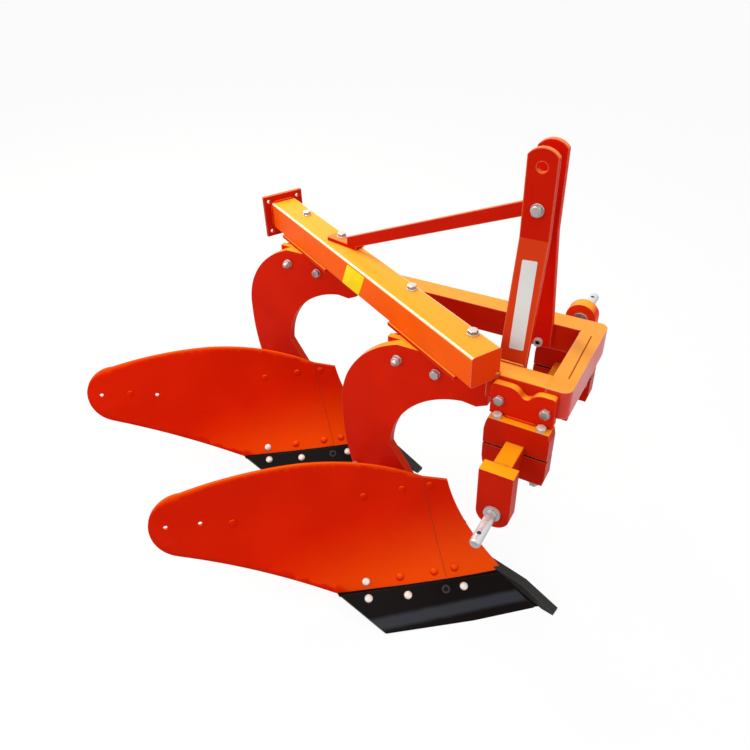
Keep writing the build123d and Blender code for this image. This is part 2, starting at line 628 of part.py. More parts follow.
REAR_SHIFT = ORIGIN_SHIFT + ALONG * BODY_SPACING
for name, builder in BODY_PIECES.items():
    for body, shift in (("front", ORIGIN_SHIFT), ("rear", REAR_SHIFT)):
        placed = Pos(*shift) * builder.part
        placed.label = f"{body}_{name}"
        export_step(placed, f"parts/{placed.label}.step")
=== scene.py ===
"""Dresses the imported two-furrow mounted plough: enamel, zinc, fasteners, welds, plates and a plain studio."""

import json
import logging
import math
import random
from dataclasses import dataclass, field, replace
from enum import Enum

import bmesh
import bpy
from mathutils import Matrix, Vector
from mathutils.bvhtree import BVHTree

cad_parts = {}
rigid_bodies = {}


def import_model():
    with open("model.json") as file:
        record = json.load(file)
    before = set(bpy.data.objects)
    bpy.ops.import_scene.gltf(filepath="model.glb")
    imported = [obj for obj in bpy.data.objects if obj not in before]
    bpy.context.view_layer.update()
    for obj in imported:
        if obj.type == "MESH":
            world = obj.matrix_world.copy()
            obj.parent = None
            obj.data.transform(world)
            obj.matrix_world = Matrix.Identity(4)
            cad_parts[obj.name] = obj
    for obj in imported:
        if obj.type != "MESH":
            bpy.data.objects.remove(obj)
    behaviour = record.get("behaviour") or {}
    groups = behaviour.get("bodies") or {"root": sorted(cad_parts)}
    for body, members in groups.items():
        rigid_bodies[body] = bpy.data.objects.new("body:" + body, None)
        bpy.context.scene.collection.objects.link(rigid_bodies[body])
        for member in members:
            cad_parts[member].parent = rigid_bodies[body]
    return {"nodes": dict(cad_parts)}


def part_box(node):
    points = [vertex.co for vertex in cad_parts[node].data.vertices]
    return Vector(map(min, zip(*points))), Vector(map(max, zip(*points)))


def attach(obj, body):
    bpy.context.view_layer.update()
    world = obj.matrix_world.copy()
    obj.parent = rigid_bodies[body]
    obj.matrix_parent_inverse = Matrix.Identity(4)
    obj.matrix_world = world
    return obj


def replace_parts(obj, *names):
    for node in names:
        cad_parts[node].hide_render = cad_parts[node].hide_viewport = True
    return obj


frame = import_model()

LOG = logging.getLogger("plough")
MM = 0.001
X, Y, Z = Vector((1, 0, 0)), Vector((0, 1, 0)), Vector((0, 0, 1))

Colour = tuple[float, float, float]
Spot = tuple[float, float, float]
Triple = tuple[float, float, float]
Pair = tuple[float, float]


class Slot(Enum):
    """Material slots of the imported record."""

    RED = "red_paint"
    BLACK = "black_paint"
    ZINC = "zinc_plate"


class Body(Enum):
    """Bodies that pieces ride on."""

    PLOUGH = "plough"
    SHAFT = "hitch_shaft"


# Places


@dataclass(frozen=True)
class Seat:
    """A place on a surface: a point, the way out of the surface, and a direction along it."""

    point: Vector
    normal: Vector
    along: Vector

    def matrix(self) -> Matrix:
        """Works out how a piece drawn on the XY plane moves onto this seat.

        Returns:
            The transform.
        """
        up = self.normal.normalized()
        side = (self.along - up * self.along.dot(up)).normalized()
        turn = Matrix((side, up.cross(side), up)).transposed()
        return Matrix.Translation(self.point) @ turn.to_4x4()


class Surface:
    """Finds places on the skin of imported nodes."""

    REACH: float = 2.0

    def __init__(self, *nodes: str) -> None:
        """Gathers the nodes' meshes.

        Args:
            nodes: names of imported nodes, taken together.
        """
        verts: list[Vector] = []
        faces: list[list[int]] = []
        for name in nodes:
            mesh = frame["nodes"][name].data
            first = len(verts)
            verts += [v.co.copy() for v in mesh.vertices]
            faces += [[first + i for i in p.vertices] for p in mesh.polygons]
        self.tree = BVHTree.FromPolygons(verts, faces)

    def seat(self, start: Vector, toward: Vector, along: Vector) -> Seat:
        """Casts a ray at the skin.

        Args:
            start: where the ray begins, in metres.
            toward: its direction.
            along: direction kept as the piece's own X.

        Returns:
            The seat where the ray meets the skin.

        Raises:
            ValueError: when the ray misses.
        """
        point, normal, _, _ = self.tree.ray_cast(start, toward.normalized(), self.REACH)
        if point is None:
            raise ValueError(f"no surface from {start[:]} toward {toward[:]}")
        if normal.dot(toward) > 0:
            normal = -normal
        return Seat(point, normal, along)


@dataclass(frozen=True)
class Drawing:
    """The part's drawing, in millimetres and degrees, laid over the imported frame."""

    hitch_x: float = 598.0
    hitch_y: float = 153.0
    beam_angle: float = 29.0
    beam_size: float = 90.0
    beam_top: float = 800.0
    beam_length: float = 1130.0
    beam_front: Pair = (503.0, -52.0)
    body_spacing: float = 685.0
    body: Pair = (480.0, -92.0)
    share_angle: float = 42.0

    def spot(self, x: float, y: float, z: float) -> Vector:
        """Finds a drawing point in the frame, through the cross shaft's middle.

        Args:
            x: forward, in millimetres on the drawing.
            y: to the left.
            z: up from the ground.

        Returns:
            The same point in the frame, in metres.
        """
        low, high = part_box("cross_shaft")
        middle = (low + high) / 2
        return Vector(((x - self.hitch_x) * MM + middle.x, (y - self.hitch_y) * MM + middle.y, z * MM))

    @property
    def back(self) -> Vector:
        """Direction along the beam, towards its rear end."""
        angle = math.radians(self.beam_angle)
        return Vector((-math.cos(angle), math.sin(angle), 0.0))

    @property
    def left(self) -> Vector:
        """Direction square to the beam, to the left."""
        angle = math.radians(self.beam_angle)
        return Vector((math.sin(angle), math.cos(angle), 0.0))

    @property
    def edge(self) -> Vector:
        """Direction along the shares' cutting edges, towards their points."""
        angle = math.radians(self.share_angle)
        return Vector((math.cos(angle), math.sin(angle), 0.0))

    @property
    def face(self) -> Vector:
        """Level direction out of the mouldboards' working faces."""
        angle = math.radians(self.share_angle)
        return Vector((math.sin(angle), -math.cos(angle), 0.0))

    def on_beam(self, along: float, across: float, z: float) -> Vector:
        """Finds a place in the beam's own axes.

        Args:
            along: distance behind the beam's front end, in millimetres.
            across: distance to the left of its centre line.
            z: height above the ground.

        Returns:
            The place in metres.
        """
        return self.spot(*self.beam_front, z) + self.back * (along * MM) + self.left * (across * MM)

    def on_body(self, rear: bool, place: float, out: float, z: float) -> Vector:
        """Finds a place in a plough body's own axes.

        Args:
            rear: whether it is the rear body.
            place: distance along the cutting edge, in millimetres.
            out: distance out of the working face.
            z: height above the ground.

        Returns:
            The place in metres.
        """
        start = self.spot(*self.body, z) + self.back * (self.body_spacing * MM * rear)
        return start + self.edge * (place * MM) + self.face * (out * MM)

    def beside_body(self, rear: bool, x: float, y: float, z: float) -> Vector:
        """Finds a place by a plough body's leg.

        Args:
            rear: whether it is the rear body.
            x: distance forward from the body's datum, in millimetres.
            y: distance to the left of the drawing's axis.
            z: height above the ground.

        Returns:
            The place in metres.
        """
        return self.spot(self.body[0] + x, y, z) + self.back * (self.body_spacing * MM * rear)


DRAWING = Drawing()


def shortened(start: Vector, stop: Vector, inset: float) -> list[Vector]:
    """Shortens a line at both ends.

    Args:
        start: one end, in metres.
        stop: the other end.
        inset: how far each end moves in, in millimetres.

    Returns:
        The two new ends.
    """
    step = (stop - start).normalized() * (inset * MM)
    return [start + step, stop - step]


# Shader groups


class Graph:
    """Short way to place and link nodes in one tree."""

    COLUMNS: int = 8
    COLUMN_STEP: int = 190
    ROW_STEP: int = 260

    def __init__(self, tree: bpy.types.NodeTree) -> None:
        """Takes the tree to work in."""
        self.tree = tree
        self.count = 0

    def node(self, kind: str, settings: dict[str, object] | None = None, **inputs: object) -> bpy.types.Node:
        """Adds a node.

        Args:
            kind: node type's identifier.
            settings: node properties to set.
            inputs: values or sockets by input name, with _ for a space.

        Returns:
            The new node.
        """
        made = self.tree.nodes.new(kind)
        row, column = divmod(self.count, self.COLUMNS)
        made.location = (column * self.COLUMN_STEP, -row * self.ROW_STEP)
        self.count += 1
        for key, value in (settings or {}).items():
            setattr(made, key, value)
        for key, value in inputs.items():
            self.feed(made.inputs[key.replace("_", " ")], value)
        return made

    def feed(self, socket: bpy.types.NodeSocket, value: object) -> None:
        """Links a socket to another one, or sets its value.

        Args:
            socket: input to fill.
            value: an output socket or a plain value.
        """
        if isinstance(value, bpy.types.NodeSocket):
            self.tree.links.new(value, socket)
        else:
            socket.default_value = value

    def filled(self, kind: str, settings: dict[str, object], *values: object) -> bpy.types.Node:
        """Adds a node and fills its inputs in their order.

        Args:
            kind: node type's identifier.
            settings: node properties to set.
            values: values or sockets for the inputs.

        Returns:
            The new node.
        """
        made = self.node(kind, settings)
        for index, value in enumerate(values):
            self.feed(made.inputs[index], value)
        return made

    def math(self, operation: str, first: object, second: object) -> bpy.types.NodeSocket:
        """Result of a Math node's operation on two values or sockets."""
        return self.filled("ShaderNodeMath", {"operation": operation}, first, second).outputs[0]

    def times(self, first: object, second: object) -> bpy.types.NodeSocket:
        """Product of two values or sockets."""
        return self.math("MULTIPLY", first, second)

    def dot(self, first: object, second: object) -> bpy.types.NodeSocket:
        """Dot product of two vectors or sockets, as a number."""
        made = self.filled("ShaderNodeVectorMath", {"operation": "DOT_PRODUCT"}, first, second)
        return made.outputs["Value"]

    def ramp(
        self, value: object, low: object, high: object, start: float = 0.0, end: float = 1.0
    ) -> bpy.types.NodeSocket:
        """Value that runs smoothly from start to end while the given one runs from low to high."""
        settings = {"interpolation_type": "SMOOTHSTEP"}
        return self.filled("ShaderNodeMapRange", settings, value, low, high, start, end).outputs[0]

    def mix(self, amount: object, first: object, second: object) -> bpy.types.NodeSocket:
        """Mixes two colours.

        Args:
            amount: share of the second colour.
            first: first colour or socket.
            second: second colour or socket.

        Returns:
            The mixed colour.
        """
        made = self.node("ShaderNodeMix", {"data_type": "RGBA"})
        self.feed(made.inputs[0], amount)
        self.feed(made.inputs[6], first)
        self.feed(made.inputs[7], second)
        return made.outputs[2]

    def position(self) -> bpy.types.NodeSocket:
        """Place of the shaded point on its object."""
        return self.node("ShaderNodeTexCoord").outputs["Object"]

    def upward(self) -> bpy.types.NodeSocket:
        """How far the surface looks up, from -1 to 1."""
        normal = self.node("ShaderNodeNewGeometry").outputs["Normal"]
        return self.node("ShaderNodeSeparateXYZ", Vector=normal).outputs["Z"]

    def end(self, shader: bpy.types.Node, kind: str = "ShaderNodeOutputMaterial") -> None:
        """Leads a shader to the tree's output node of a kind."""
        self.feed(self.node(kind).inputs["Surface"], shader.outputs[0])


def opened(data: bpy.types.Material | bpy.types.World) -> Graph:
    """Empties the node tree of a material or of the surroundings.

    Args:
        data: what the tree belongs to.

    Returns:
        The tree, ready for nodes.
    """
    data.use_nodes = True
    data.node_tree.nodes.clear()
    return Graph(data.node_tree)


class Socket(Enum):
    """Kinds of values that go into and out of the shared groups."""

    NUMBER = "NodeSocketFloat"
    COLOUR = "NodeSocketColor"
    VECTOR = "NodeSocketVector"


class Effect(Enum):
    """Shader groups shared by the finishes."""

    SKIN = "rounded_skin"
    MOTTLE = "paint_mottle"
    PAINTED_TOP_LIGHT = "skyward_mask"
    SHOULDER_HIGHLIGHT = "rolled_edge_mask"
    BAND = "ground_band"


class Effects:
    """Builds each shared shader group once."""

    BEVEL_SAMPLES: int = 6
    BROAD_SCALE: float = 26.0
    BROAD_SHARE: float = 2.5
    EDGE_TURN: Pair = (0.015, 0.16)
    CLOUD_RANGE: Pair = (0.36, 0.66)
    GRAIN_SCALE: float = 90.0
    SHOULDER_RISE: Pair = (0.30, 0.70)
    SHOULDER_FALL: Pair = (0.94, 0.999)
    BAND_SCALE: float = 22.0
    BAND_ROUGHNESS: float = 0.65
    BAND_WAVE: float = 0.006

    def __init__(self) -> None:
        """Makes every group."""
        self.groups = {
            Effect.SKIN: self._skin(),
            Effect.MOTTLE: self._mottle(),
            Effect.PAINTED_TOP_LIGHT: self._painted_top_light(),
            Effect.SHOULDER_HIGHLIGHT: self._painted_shoulder_highlight(),
            Effect.BAND: self._band(),
        }

    def place(self, graph: Graph, effect: Effect, **inputs: object) -> bpy.types.Node:
        """Places a group in a material with its own values, and returns its node."""
        return graph.node("ShaderNodeGroup", {"node_tree": self.groups[effect]}, **inputs)

    @staticmethod
    def _tree(
        effect: Effect, inputs: dict[str, tuple[Socket, object]], outputs: dict[str, Socket]
    ) -> tuple[Graph, bpy.types.Node, bpy.types.Node]:
        """Starts a group.

        Args:
            effect: which group.
            inputs: kind and starting value by name.
            outputs: kind by name.

        Returns:
            Its graph, its input node and its output node.
        """
        tree = bpy.data.node_groups.new(effect.value, "ShaderNodeTree")
        for name, (kind, value) in inputs.items():
            tree.interface.new_socket(name, in_out="INPUT", socket_type=kind.value).default_value = value
        for name, kind in outputs.items():
            tree.interface.new_socket(name, in_out="OUTPUT", socket_type=kind.value)
        graph = Graph(tree)
        return graph, graph.node("NodeGroupInput"), graph.node("NodeGroupOutput")

    def _skin(self) -> bpy.types.NodeTree:
        """Builds rounded edges with a fine sprayed ripple, and a mask of where the edges are.

        Returns:
            The group.
        """
        graph, given, result = self._tree(
            Effect.SKIN,
            {
                "Radius": (Socket.NUMBER, 0.002),
                "Ripple Scale": (Socket.NUMBER, 220.0),
                "Ripple Depth": (Socket.NUMBER, 0.00004),
            },
            {"Normal": Socket.VECTOR, "Edge": Socket.NUMBER},
        )
        bevel = graph.node("ShaderNodeBevel", {"samples": self.BEVEL_SAMPLES}, Radius=given.outputs["Radius"])
        place = graph.position()
        fine = graph.node("ShaderNodeTexNoise", Vector=place, Scale=given.outputs["Ripple Scale"], Detail=2.0)
        broad = graph.node("ShaderNodeTexNoise", Vector=place, Scale=self.BROAD_SCALE, Detail=1.0)
        height = graph.math("ADD", fine.outputs[0], graph.times(broad.outputs[0], self.BROAD_SHARE))
        depth = given.outputs["Ripple Depth"]
        bump = graph.node("ShaderNodeBump", Height=height, Distance=depth, Normal=bevel.outputs[0])
        flat = graph.node("ShaderNodeNewGeometry").outputs["Normal"]
        turned = graph.math("SUBTRACT", 1.0, graph.dot(bevel.outputs[0], flat))
        graph.feed(result.inputs["Edge"], graph.ramp(turned, *self.EDGE_TURN))
        graph.feed(result.inputs["Normal"], bump.outputs[0])
        return graph.tree

    def _mottle(self) -> bpy.types.NodeTree:
        """Builds a slow change between two shades of a colour, with a gloss value that follows it.

        Returns:
            The group.
        """
        graph, given, result = self._tree(
            Effect.MOTTLE,
            {
                "Light": (Socket.COLOUR, (1, 1, 1, 1)),
                "Dark": (Socket.COLOUR, (0, 0, 0, 1)),
                "Scale": (Socket.NUMBER, 6.0),
                "Gloss": (Socket.NUMBER, 0.3),
                "Spread": (Socket.NUMBER, 0.08),
            },
            {"Colour": Socket.COLOUR, "Roughness": Socket.NUMBER},
        )
        place = graph.position()
        cloud = graph.node("ShaderNodeTexNoise", Vector=place, Scale=given.outputs["Scale"], Detail=4.0)
        grain = graph.node("ShaderNodeTexNoise", Vector=place, Scale=self.GRAIN_SCALE, Detail=3.0)
        amount = graph.ramp(cloud.outputs[0], *self.CLOUD_RANGE)
        graph.feed(result.inputs["Colour"], graph.mix(amount, given.outputs["Dark"], given.outputs["Light"]))
        swing = graph.times(graph.math("SUBTRACT", grain.outputs[0], 0.5), given.outputs["Spread"])
        drift = graph.times(graph.math("SUBTRACT", amount, 0.5), given.outputs["Spread"])
        rough = graph.math("ADD", given.outputs["Gloss"], graph.math("ADD", swing, drift))
        graph.feed(result.inputs["Roughness"], rough)
        return graph.tree

    def _painted_top_light(self) -> bpy.types.NodeTree:
        """Builds a mask of the surfaces that look up, where light is painted.

        Returns:
            The group.
        """
        graph, given, result = self._tree(
            Effect.PAINTED_TOP_LIGHT,
            {"Start": (Socket.NUMBER, 0.5), "Full": (Socket.NUMBER, 0.95)},
            {"Mask": Socket.NUMBER},
        )
        mask = graph.ramp(graph.upward(), given.outputs["Start"], given.outputs["Full"])
        graph.feed(result.inputs["Mask"], mask)
        return graph.tree

    def _painted_shoulder_highlight(self) -> bpy.types.NodeTree:
        """Builds a mask of rolled edges that lie between an upright side and a level top, where a highlight is
        painted.

        Returns:
            The group.
        """
        graph, _, result = self._tree(Effect.SHOULDER_HIGHLIGHT, {}, {"Mask": Socket.NUMBER})
        upward = graph.upward()
        rise = graph.ramp(upward, *self.SHOULDER_RISE)
        fall = graph.ramp(upward, *self.SHOULDER_FALL, 1.0, 0.0)
        graph.feed(result.inputs["Mask"], graph.times(rise, fall))
        return graph.tree

    def _band(self) -> bpy.types.NodeTree:
        """Builds a mask of a soft lighter band between two distances along a direction, for a painted
        reflection.

        Returns:
            The group.
        """
        graph, given, result = self._tree(
            Effect.BAND,
            {
                "Direction": (Socket.VECTOR, (0, 0, 1)),
                "From": (Socket.NUMBER, 0.0),
                "To": (Socket.NUMBER, 0.1),
                "Soft": (Socket.NUMBER, 0.01),
            },
            {"Mask": Socket.NUMBER},
        )
        place = graph.position()
        reach = graph.dot(place, given.outputs["Direction"])
        cloud = graph.node(
            "ShaderNodeTexNoise",
            Vector=place,
            Scale=self.BAND_SCALE,
            Detail=5.0,
            Roughness=self.BAND_ROUGHNESS,
        )
        wave = graph.times(graph.math("SUBTRACT", cloud.outputs[0], 0.5), self.BAND_WAVE)
        at = graph.math("ADD", reach, wave)
        rise = graph.math("DIVIDE", graph.math("SUBTRACT", at, given.outputs["From"]), given.outputs["Soft"])
        fall = graph.math("DIVIDE", graph.math("SUBTRACT", given.outputs["To"], at), given.outputs["Soft"])
        both = graph.times(graph.ramp(rise, 0.0, 1.0), graph.ramp(fall, 0.0, 1.0))
        graph.feed(result.inputs["Mask"], both)
        return graph.tree


# Finishes


def opaque(colour: Colour) -> tuple[float, float, float, float]:
    """Colour with full alpha."""
    return (*colour, 1.0)


@dataclass(frozen=True)
class ReflectionBand:
    """A lighter band across a direction, between two distances in metres: a painted reflection."""

    direction: Vector
    start: float
    stop: float
    soft: float = 0.014
    colour: Colour = (0.040, 0.043, 0.052)
    share: float = 0.8
    rougher: float = 0.12


@dataclass(frozen=True)
class Finish:
    """Enamel or plating: two shades, painted light on upward faces, gloss, edges tinted by wear and a painted
    highlight, and painted shoulder highlights.
    """

    name: str
    light: Colour
    dark: Colour
    # Painted light and shade: the colour that upward faces turn to.
    top: Colour
    # Tint of bevelled edges: partly wear, partly painted highlight.
    edge: Colour
    slot: Slot = Slot.RED
    edge_wear_and_highlight_share: float = 0.35
    # Where the painted top light begins and where it is full, by how far a face looks up.
    top_light_start: float = 0.45
    top_light_full: float = 0.97
    gloss: float = 0.34
    specular: float = 0.02
    metal: float = 0.0
    edge_coat: float = 0.8
    top_coat: float = 0.35
    coat_gloss: float = 0.2
    radius: float = 0.0028
    ripple: float = 0.00005
    ripple_scale: float = 220.0
    stain_scale: float = 6.0
    stain_spread: float = 0.08
    # Painted highlight on rolled shoulders between an upright side and a level top.
    rolled: Colour | None = None
    shoulder_highlight_share: float = 0.85

    def material(self, effects: Effects, band: ReflectionBand | None = None) -> bpy.types.Material:
        """Builds the material.

        Args:
            effects: the shared groups.
            band: a lighter band, a painted reflection, if there is one.

        Returns:
            The new material.
        """
        made = bpy.data.materials.new(self.name)
        graph = opened(made)
        skin = effects.place(
            graph, Effect.SKIN, Radius=self.radius, Ripple_Scale=self.ripple_scale, Ripple_Depth=self.ripple
        )
        stain = effects.place(
            graph,
            Effect.MOTTLE,
            Light=opaque(self.light),
            Dark=opaque(self.dark),
            Scale=self.stain_scale,
            Gloss=self.gloss,
            Spread=self.stain_spread,
        )
        edge, rough = skin.outputs["Edge"], stain.outputs["Roughness"]
        # Painted light: upward faces take the top colour; edges take their tint, partly wear and partly painted
        # highlight.
        sky = effects.place(graph, Effect.PAINTED_TOP_LIGHT, Start=self.top_light_start, Full=self.top_light_full).outputs["Mask"]
        painted_light_colour = graph.mix(sky, stain.outputs["Colour"], opaque(self.top))
        colour = graph.mix(graph.times(edge, self.edge_wear_and_highlight_share), painted_light_colour, opaque(self.edge))
        coat = None
        if self.edge_coat:
            coat = graph.math("MAXIMUM", graph.times(edge, self.edge_coat), graph.times(sky, self.top_coat))
        # Painted highlight on rolled shoulders, which also get a coat.
        if self.rolled:
            shoulder_highlight = effects.place(graph, Effect.SHOULDER_HIGHLIGHT).outputs["Mask"]
            colour = graph.mix(graph.times(shoulder_highlight, self.shoulder_highlight_share), colour, opaque(self.rolled))
            coat = graph.math("MAXIMUM", coat, shoulder_highlight)
        # Painted reflection: a lighter, rougher band.
        if band:
            painted_reflection = effects.place(
                graph, Effect.BAND, Direction=band.direction, From=band.start, To=band.stop, Soft=band.soft
            ).outputs["Mask"]
            colour = graph.mix(graph.times(painted_reflection, band.share), colour, opaque(band.colour))
            rough = graph.math("ADD", rough, graph.times(painted_reflection, band.rougher))
        shader = graph.node(
            "ShaderNodeBsdfPrincipled",
            Base_Color=colour,
            Roughness=rough,
            Metallic=self.metal,
            Specular_IOR_Level=self.specular,
            Normal=skin.outputs["Normal"],
        )
        if coat is not None:
            graph.feed(shader.inputs["Coat Weight"], coat)
            graph.feed(shader.inputs["Coat Roughness"], self.coat_gloss)
        graph.end(shader)
        return made


BODY_ENAMEL = Finish(
    "body_enamel", (0.605, 0.0122, 0.0006), (0.565, 0.0102, 0.0006), (0.86, 0.085, 0.001), (0.95, 0.16, 0.09),
    specular=0.01, top_light_start=0.42, top_coat=0.04, edge_coat=0.45, edge_wear_and_highlight_share=0.25,
)
LEG_ENAMEL = Finish(
    "leg_enamel", (0.58, 0.012, 0.001), (0.54, 0.010, 0.001), (0.95, 0.33, 0.02), (0.90, 0.12, 0.06),
    edge_coat=0.5,
)
# Darker copy of the red enamel for the end plate: painted shade.
SHADED_PLATE_ENAMEL = Finish(
    "shaded_end_plate_enamel", (0.50, 0.011, 0.001), (0.46, 0.009, 0.001), (0.84, 0.10, 0.01), (0.90, 0.12, 0.06)
)
# Brighter copy of the red enamel: the beam's side is lighter and more orange, which is painted light; its
# rolled colour is a painted highlight.
LIT_BEAM_ENAMEL = Finish(
    "lit_beam_enamel", (0.85, 0.108, 0.003), (0.80, 0.090, 0.003), (0.86, 0.33, 0.020), (0.95, 0.50, 0.28),
    edge_wear_and_highlight_share=0.4, radius=0.003, coat_gloss=0.3, rolled=(0.93, 0.76, 0.52),
)
# Darker copy for the beam's front end cap: painted shade.
SHADED_CAP_ENAMEL = replace(
    LIT_BEAM_ENAMEL, name="shaded_beam_cap_enamel", light=(0.74, 0.050, 0.003), dark=(0.68, 0.040, 0.003), rolled=None
)
FRAME_ENAMEL = Finish(
    "front_bar_enamel", (0.56, 0.016, 0.0012), (0.51, 0.012, 0.0012), (0.84, 0.30, 0.010), (0.95, 0.40, 0.24),
    edge_wear_and_highlight_share=0.6, radius=0.005, specular=0.35, top_coat=0.1,
)
RAIL_ENAMEL = replace(
    FRAME_ENAMEL, name="rail_enamel", top=(0.85, 0.335, 0.045), specular=0.03, edge_coat=0.4
)
# A strong salmon tint on the edges: mostly painted highlight, with a little wear; the top colour is painted
# light.
MAST_ENAMEL = Finish(
    "mast_enamel", (0.49, 0.0085, 0.001), (0.45, 0.007, 0.001), (0.96, 0.21, 0.035), (1.0, 0.17, 0.07),
    edge_wear_and_highlight_share=0.9, edge_coat=0.08, radius=0.0055, top_light_start=0.0, top_coat=0.2,
)
# Lighter copy for the left leg, which stands in the right leg's shade: painted light.
LIT_LEFT_MAST_ENAMEL = replace(
    MAST_ENAMEL, name="lit_left_mast_enamel", light=(0.66, 0.008, 0.001), dark=(0.60, 0.006, 0.001)
)
SHAFT_ENAMEL = Finish(
    "shaft_enamel", (0.47, 0.0105, 0.001), (0.43, 0.009, 0.001), (0.95, 0.34, 0.006), (0.85, 0.15, 0.07),
    edge_wear_and_highlight_share=0.5, radius=0.0035,
)
# Brighter copy for the far crank, which stands in shade: painted light.
LIT_FAR_CRANK_ENAMEL = replace(
    SHAFT_ENAMEL, name="lit_far_crank_enamel", light=(0.80, 0.035, 0.003), dark=(0.72, 0.028, 0.003),
    edge=(0.95, 0.28, 0.12),
)
# Upward faces of the lower clamps turn nearly black: painted shade.
SHADED_LOWER_CLAMP_ENAMEL = replace(SHAFT_ENAMEL, name="shaded_lower_clamp_enamel", top=(0.16, 0.008, 0.001), top_coat=0.0)
BLACK_ENAMEL = Finish(
    "black_enamel", (0.0055, 0.0042, 0.004), (0.004, 0.003, 0.003), (0.006, 0.0045, 0.004),
    (0.07, 0.07, 0.075), Slot.BLACK,
    edge_wear_and_highlight_share=0.6, gloss=0.24, specular=0.03, radius=0.0016, edge_coat=0.3, top_coat=0.0,
)
POINT_ENAMEL = Finish(
    "point_enamel", (0.030, 0.027, 0.027), (0.020, 0.018, 0.018), (0.034, 0.031, 0.031), (0.16, 0.15, 0.15),
    Slot.BLACK, edge_wear_and_highlight_share=0.7, gloss=0.42, specular=0.08, radius=0.0016, top_coat=0.0,
)
YELLOW_PLATE = Finish(
    "yellow_plate", (0.90, 0.68, 0.006), (0.86, 0.62, 0.006), (0.92, 0.72, 0.01), (0.93, 0.76, 0.08),
    edge_wear_and_highlight_share=0.3, radius=0.0004, ripple=0.00001,
)
WHITE_PLATE = Finish(
    "white_plate", (0.62, 0.61, 0.59), (0.57, 0.56, 0.55), (0.66, 0.65, 0.64), (0.68, 0.66, 0.65),
    edge_wear_and_highlight_share=0.3, radius=0.0004, ripple=0.00001,
)
# Near-black inside bores and holes: painted shade.
HOLE_SHADE = Finish(
    "painted_hole_shade", (0.016, 0.012, 0.011), (0.010, 0.008, 0.007), (0.012, 0.009, 0.008), (0.03, 0.02, 0.02),
    Slot.BLACK, gloss=0.7, radius=0.0004, top_coat=0.0,
)
SEAM_ENAMEL = Finish(
    "seam_enamel", (0.30, 0.035, 0.008), (0.22, 0.02, 0.006), (0.36, 0.060, 0.012), (0.40, 0.08, 0.03),
    radius=0.0004, top_coat=0.0,
)
# Upward faces turn about twice as light: painted light.
ZINC = Finish(
    "zinc_plating", (0.34, 0.30, 0.29), (0.20, 0.17, 0.165), (0.68, 0.63, 0.60), (0.85, 0.82, 0.80),
    Slot.ZINC, edge_wear_and_highlight_share=0.45, top_light_start=-0.25, top_light_full=0.85, gloss=0.3, specular=0.5, metal=0.6,
    edge_coat=0.0, radius=0.0007, ripple=0.00003, ripple_scale=520.0, stain_scale=34.0, stain_spread=0.16,
)
# Paler, pinker copy: its pink cast is partly painted reflection of the red paint around it, and its top is
# painted light too.
PALE_ZINC = replace(
    ZINC, name="pale_zinc_plating", light=(0.44, 0.36, 0.33), dark=(0.32, 0.26, 0.24), top=(0.76, 0.67, 0.60),
    gloss=0.42, metal=0.3,
)
# Its lighter top is painted light as well.
PIN_ZINC = replace(
    ZINC, name="pin_zinc_plating", light=(0.34, 0.34, 0.35), dark=(0.22, 0.22, 0.23), top=(0.68, 0.68, 0.69),
    gloss=0.28, metal=0.5,
)


# Shapes


@dataclass(frozen=True)
class BeadLook:
    """How a weld bead ripples and swells, in shares of its size unless said otherwise."""

    stop_step: float = 0.22
    facets: int = 8
    tapered_stops: int = 4
    end_size: float = 0.35
    wave: float = 0.10
    wave_stops: int = 5
    unevenness: float = 0.05
    lag: float = 0.28
    belly: float = 0.20
    flat_span: float = 120.0


BEAD = BeadLook()


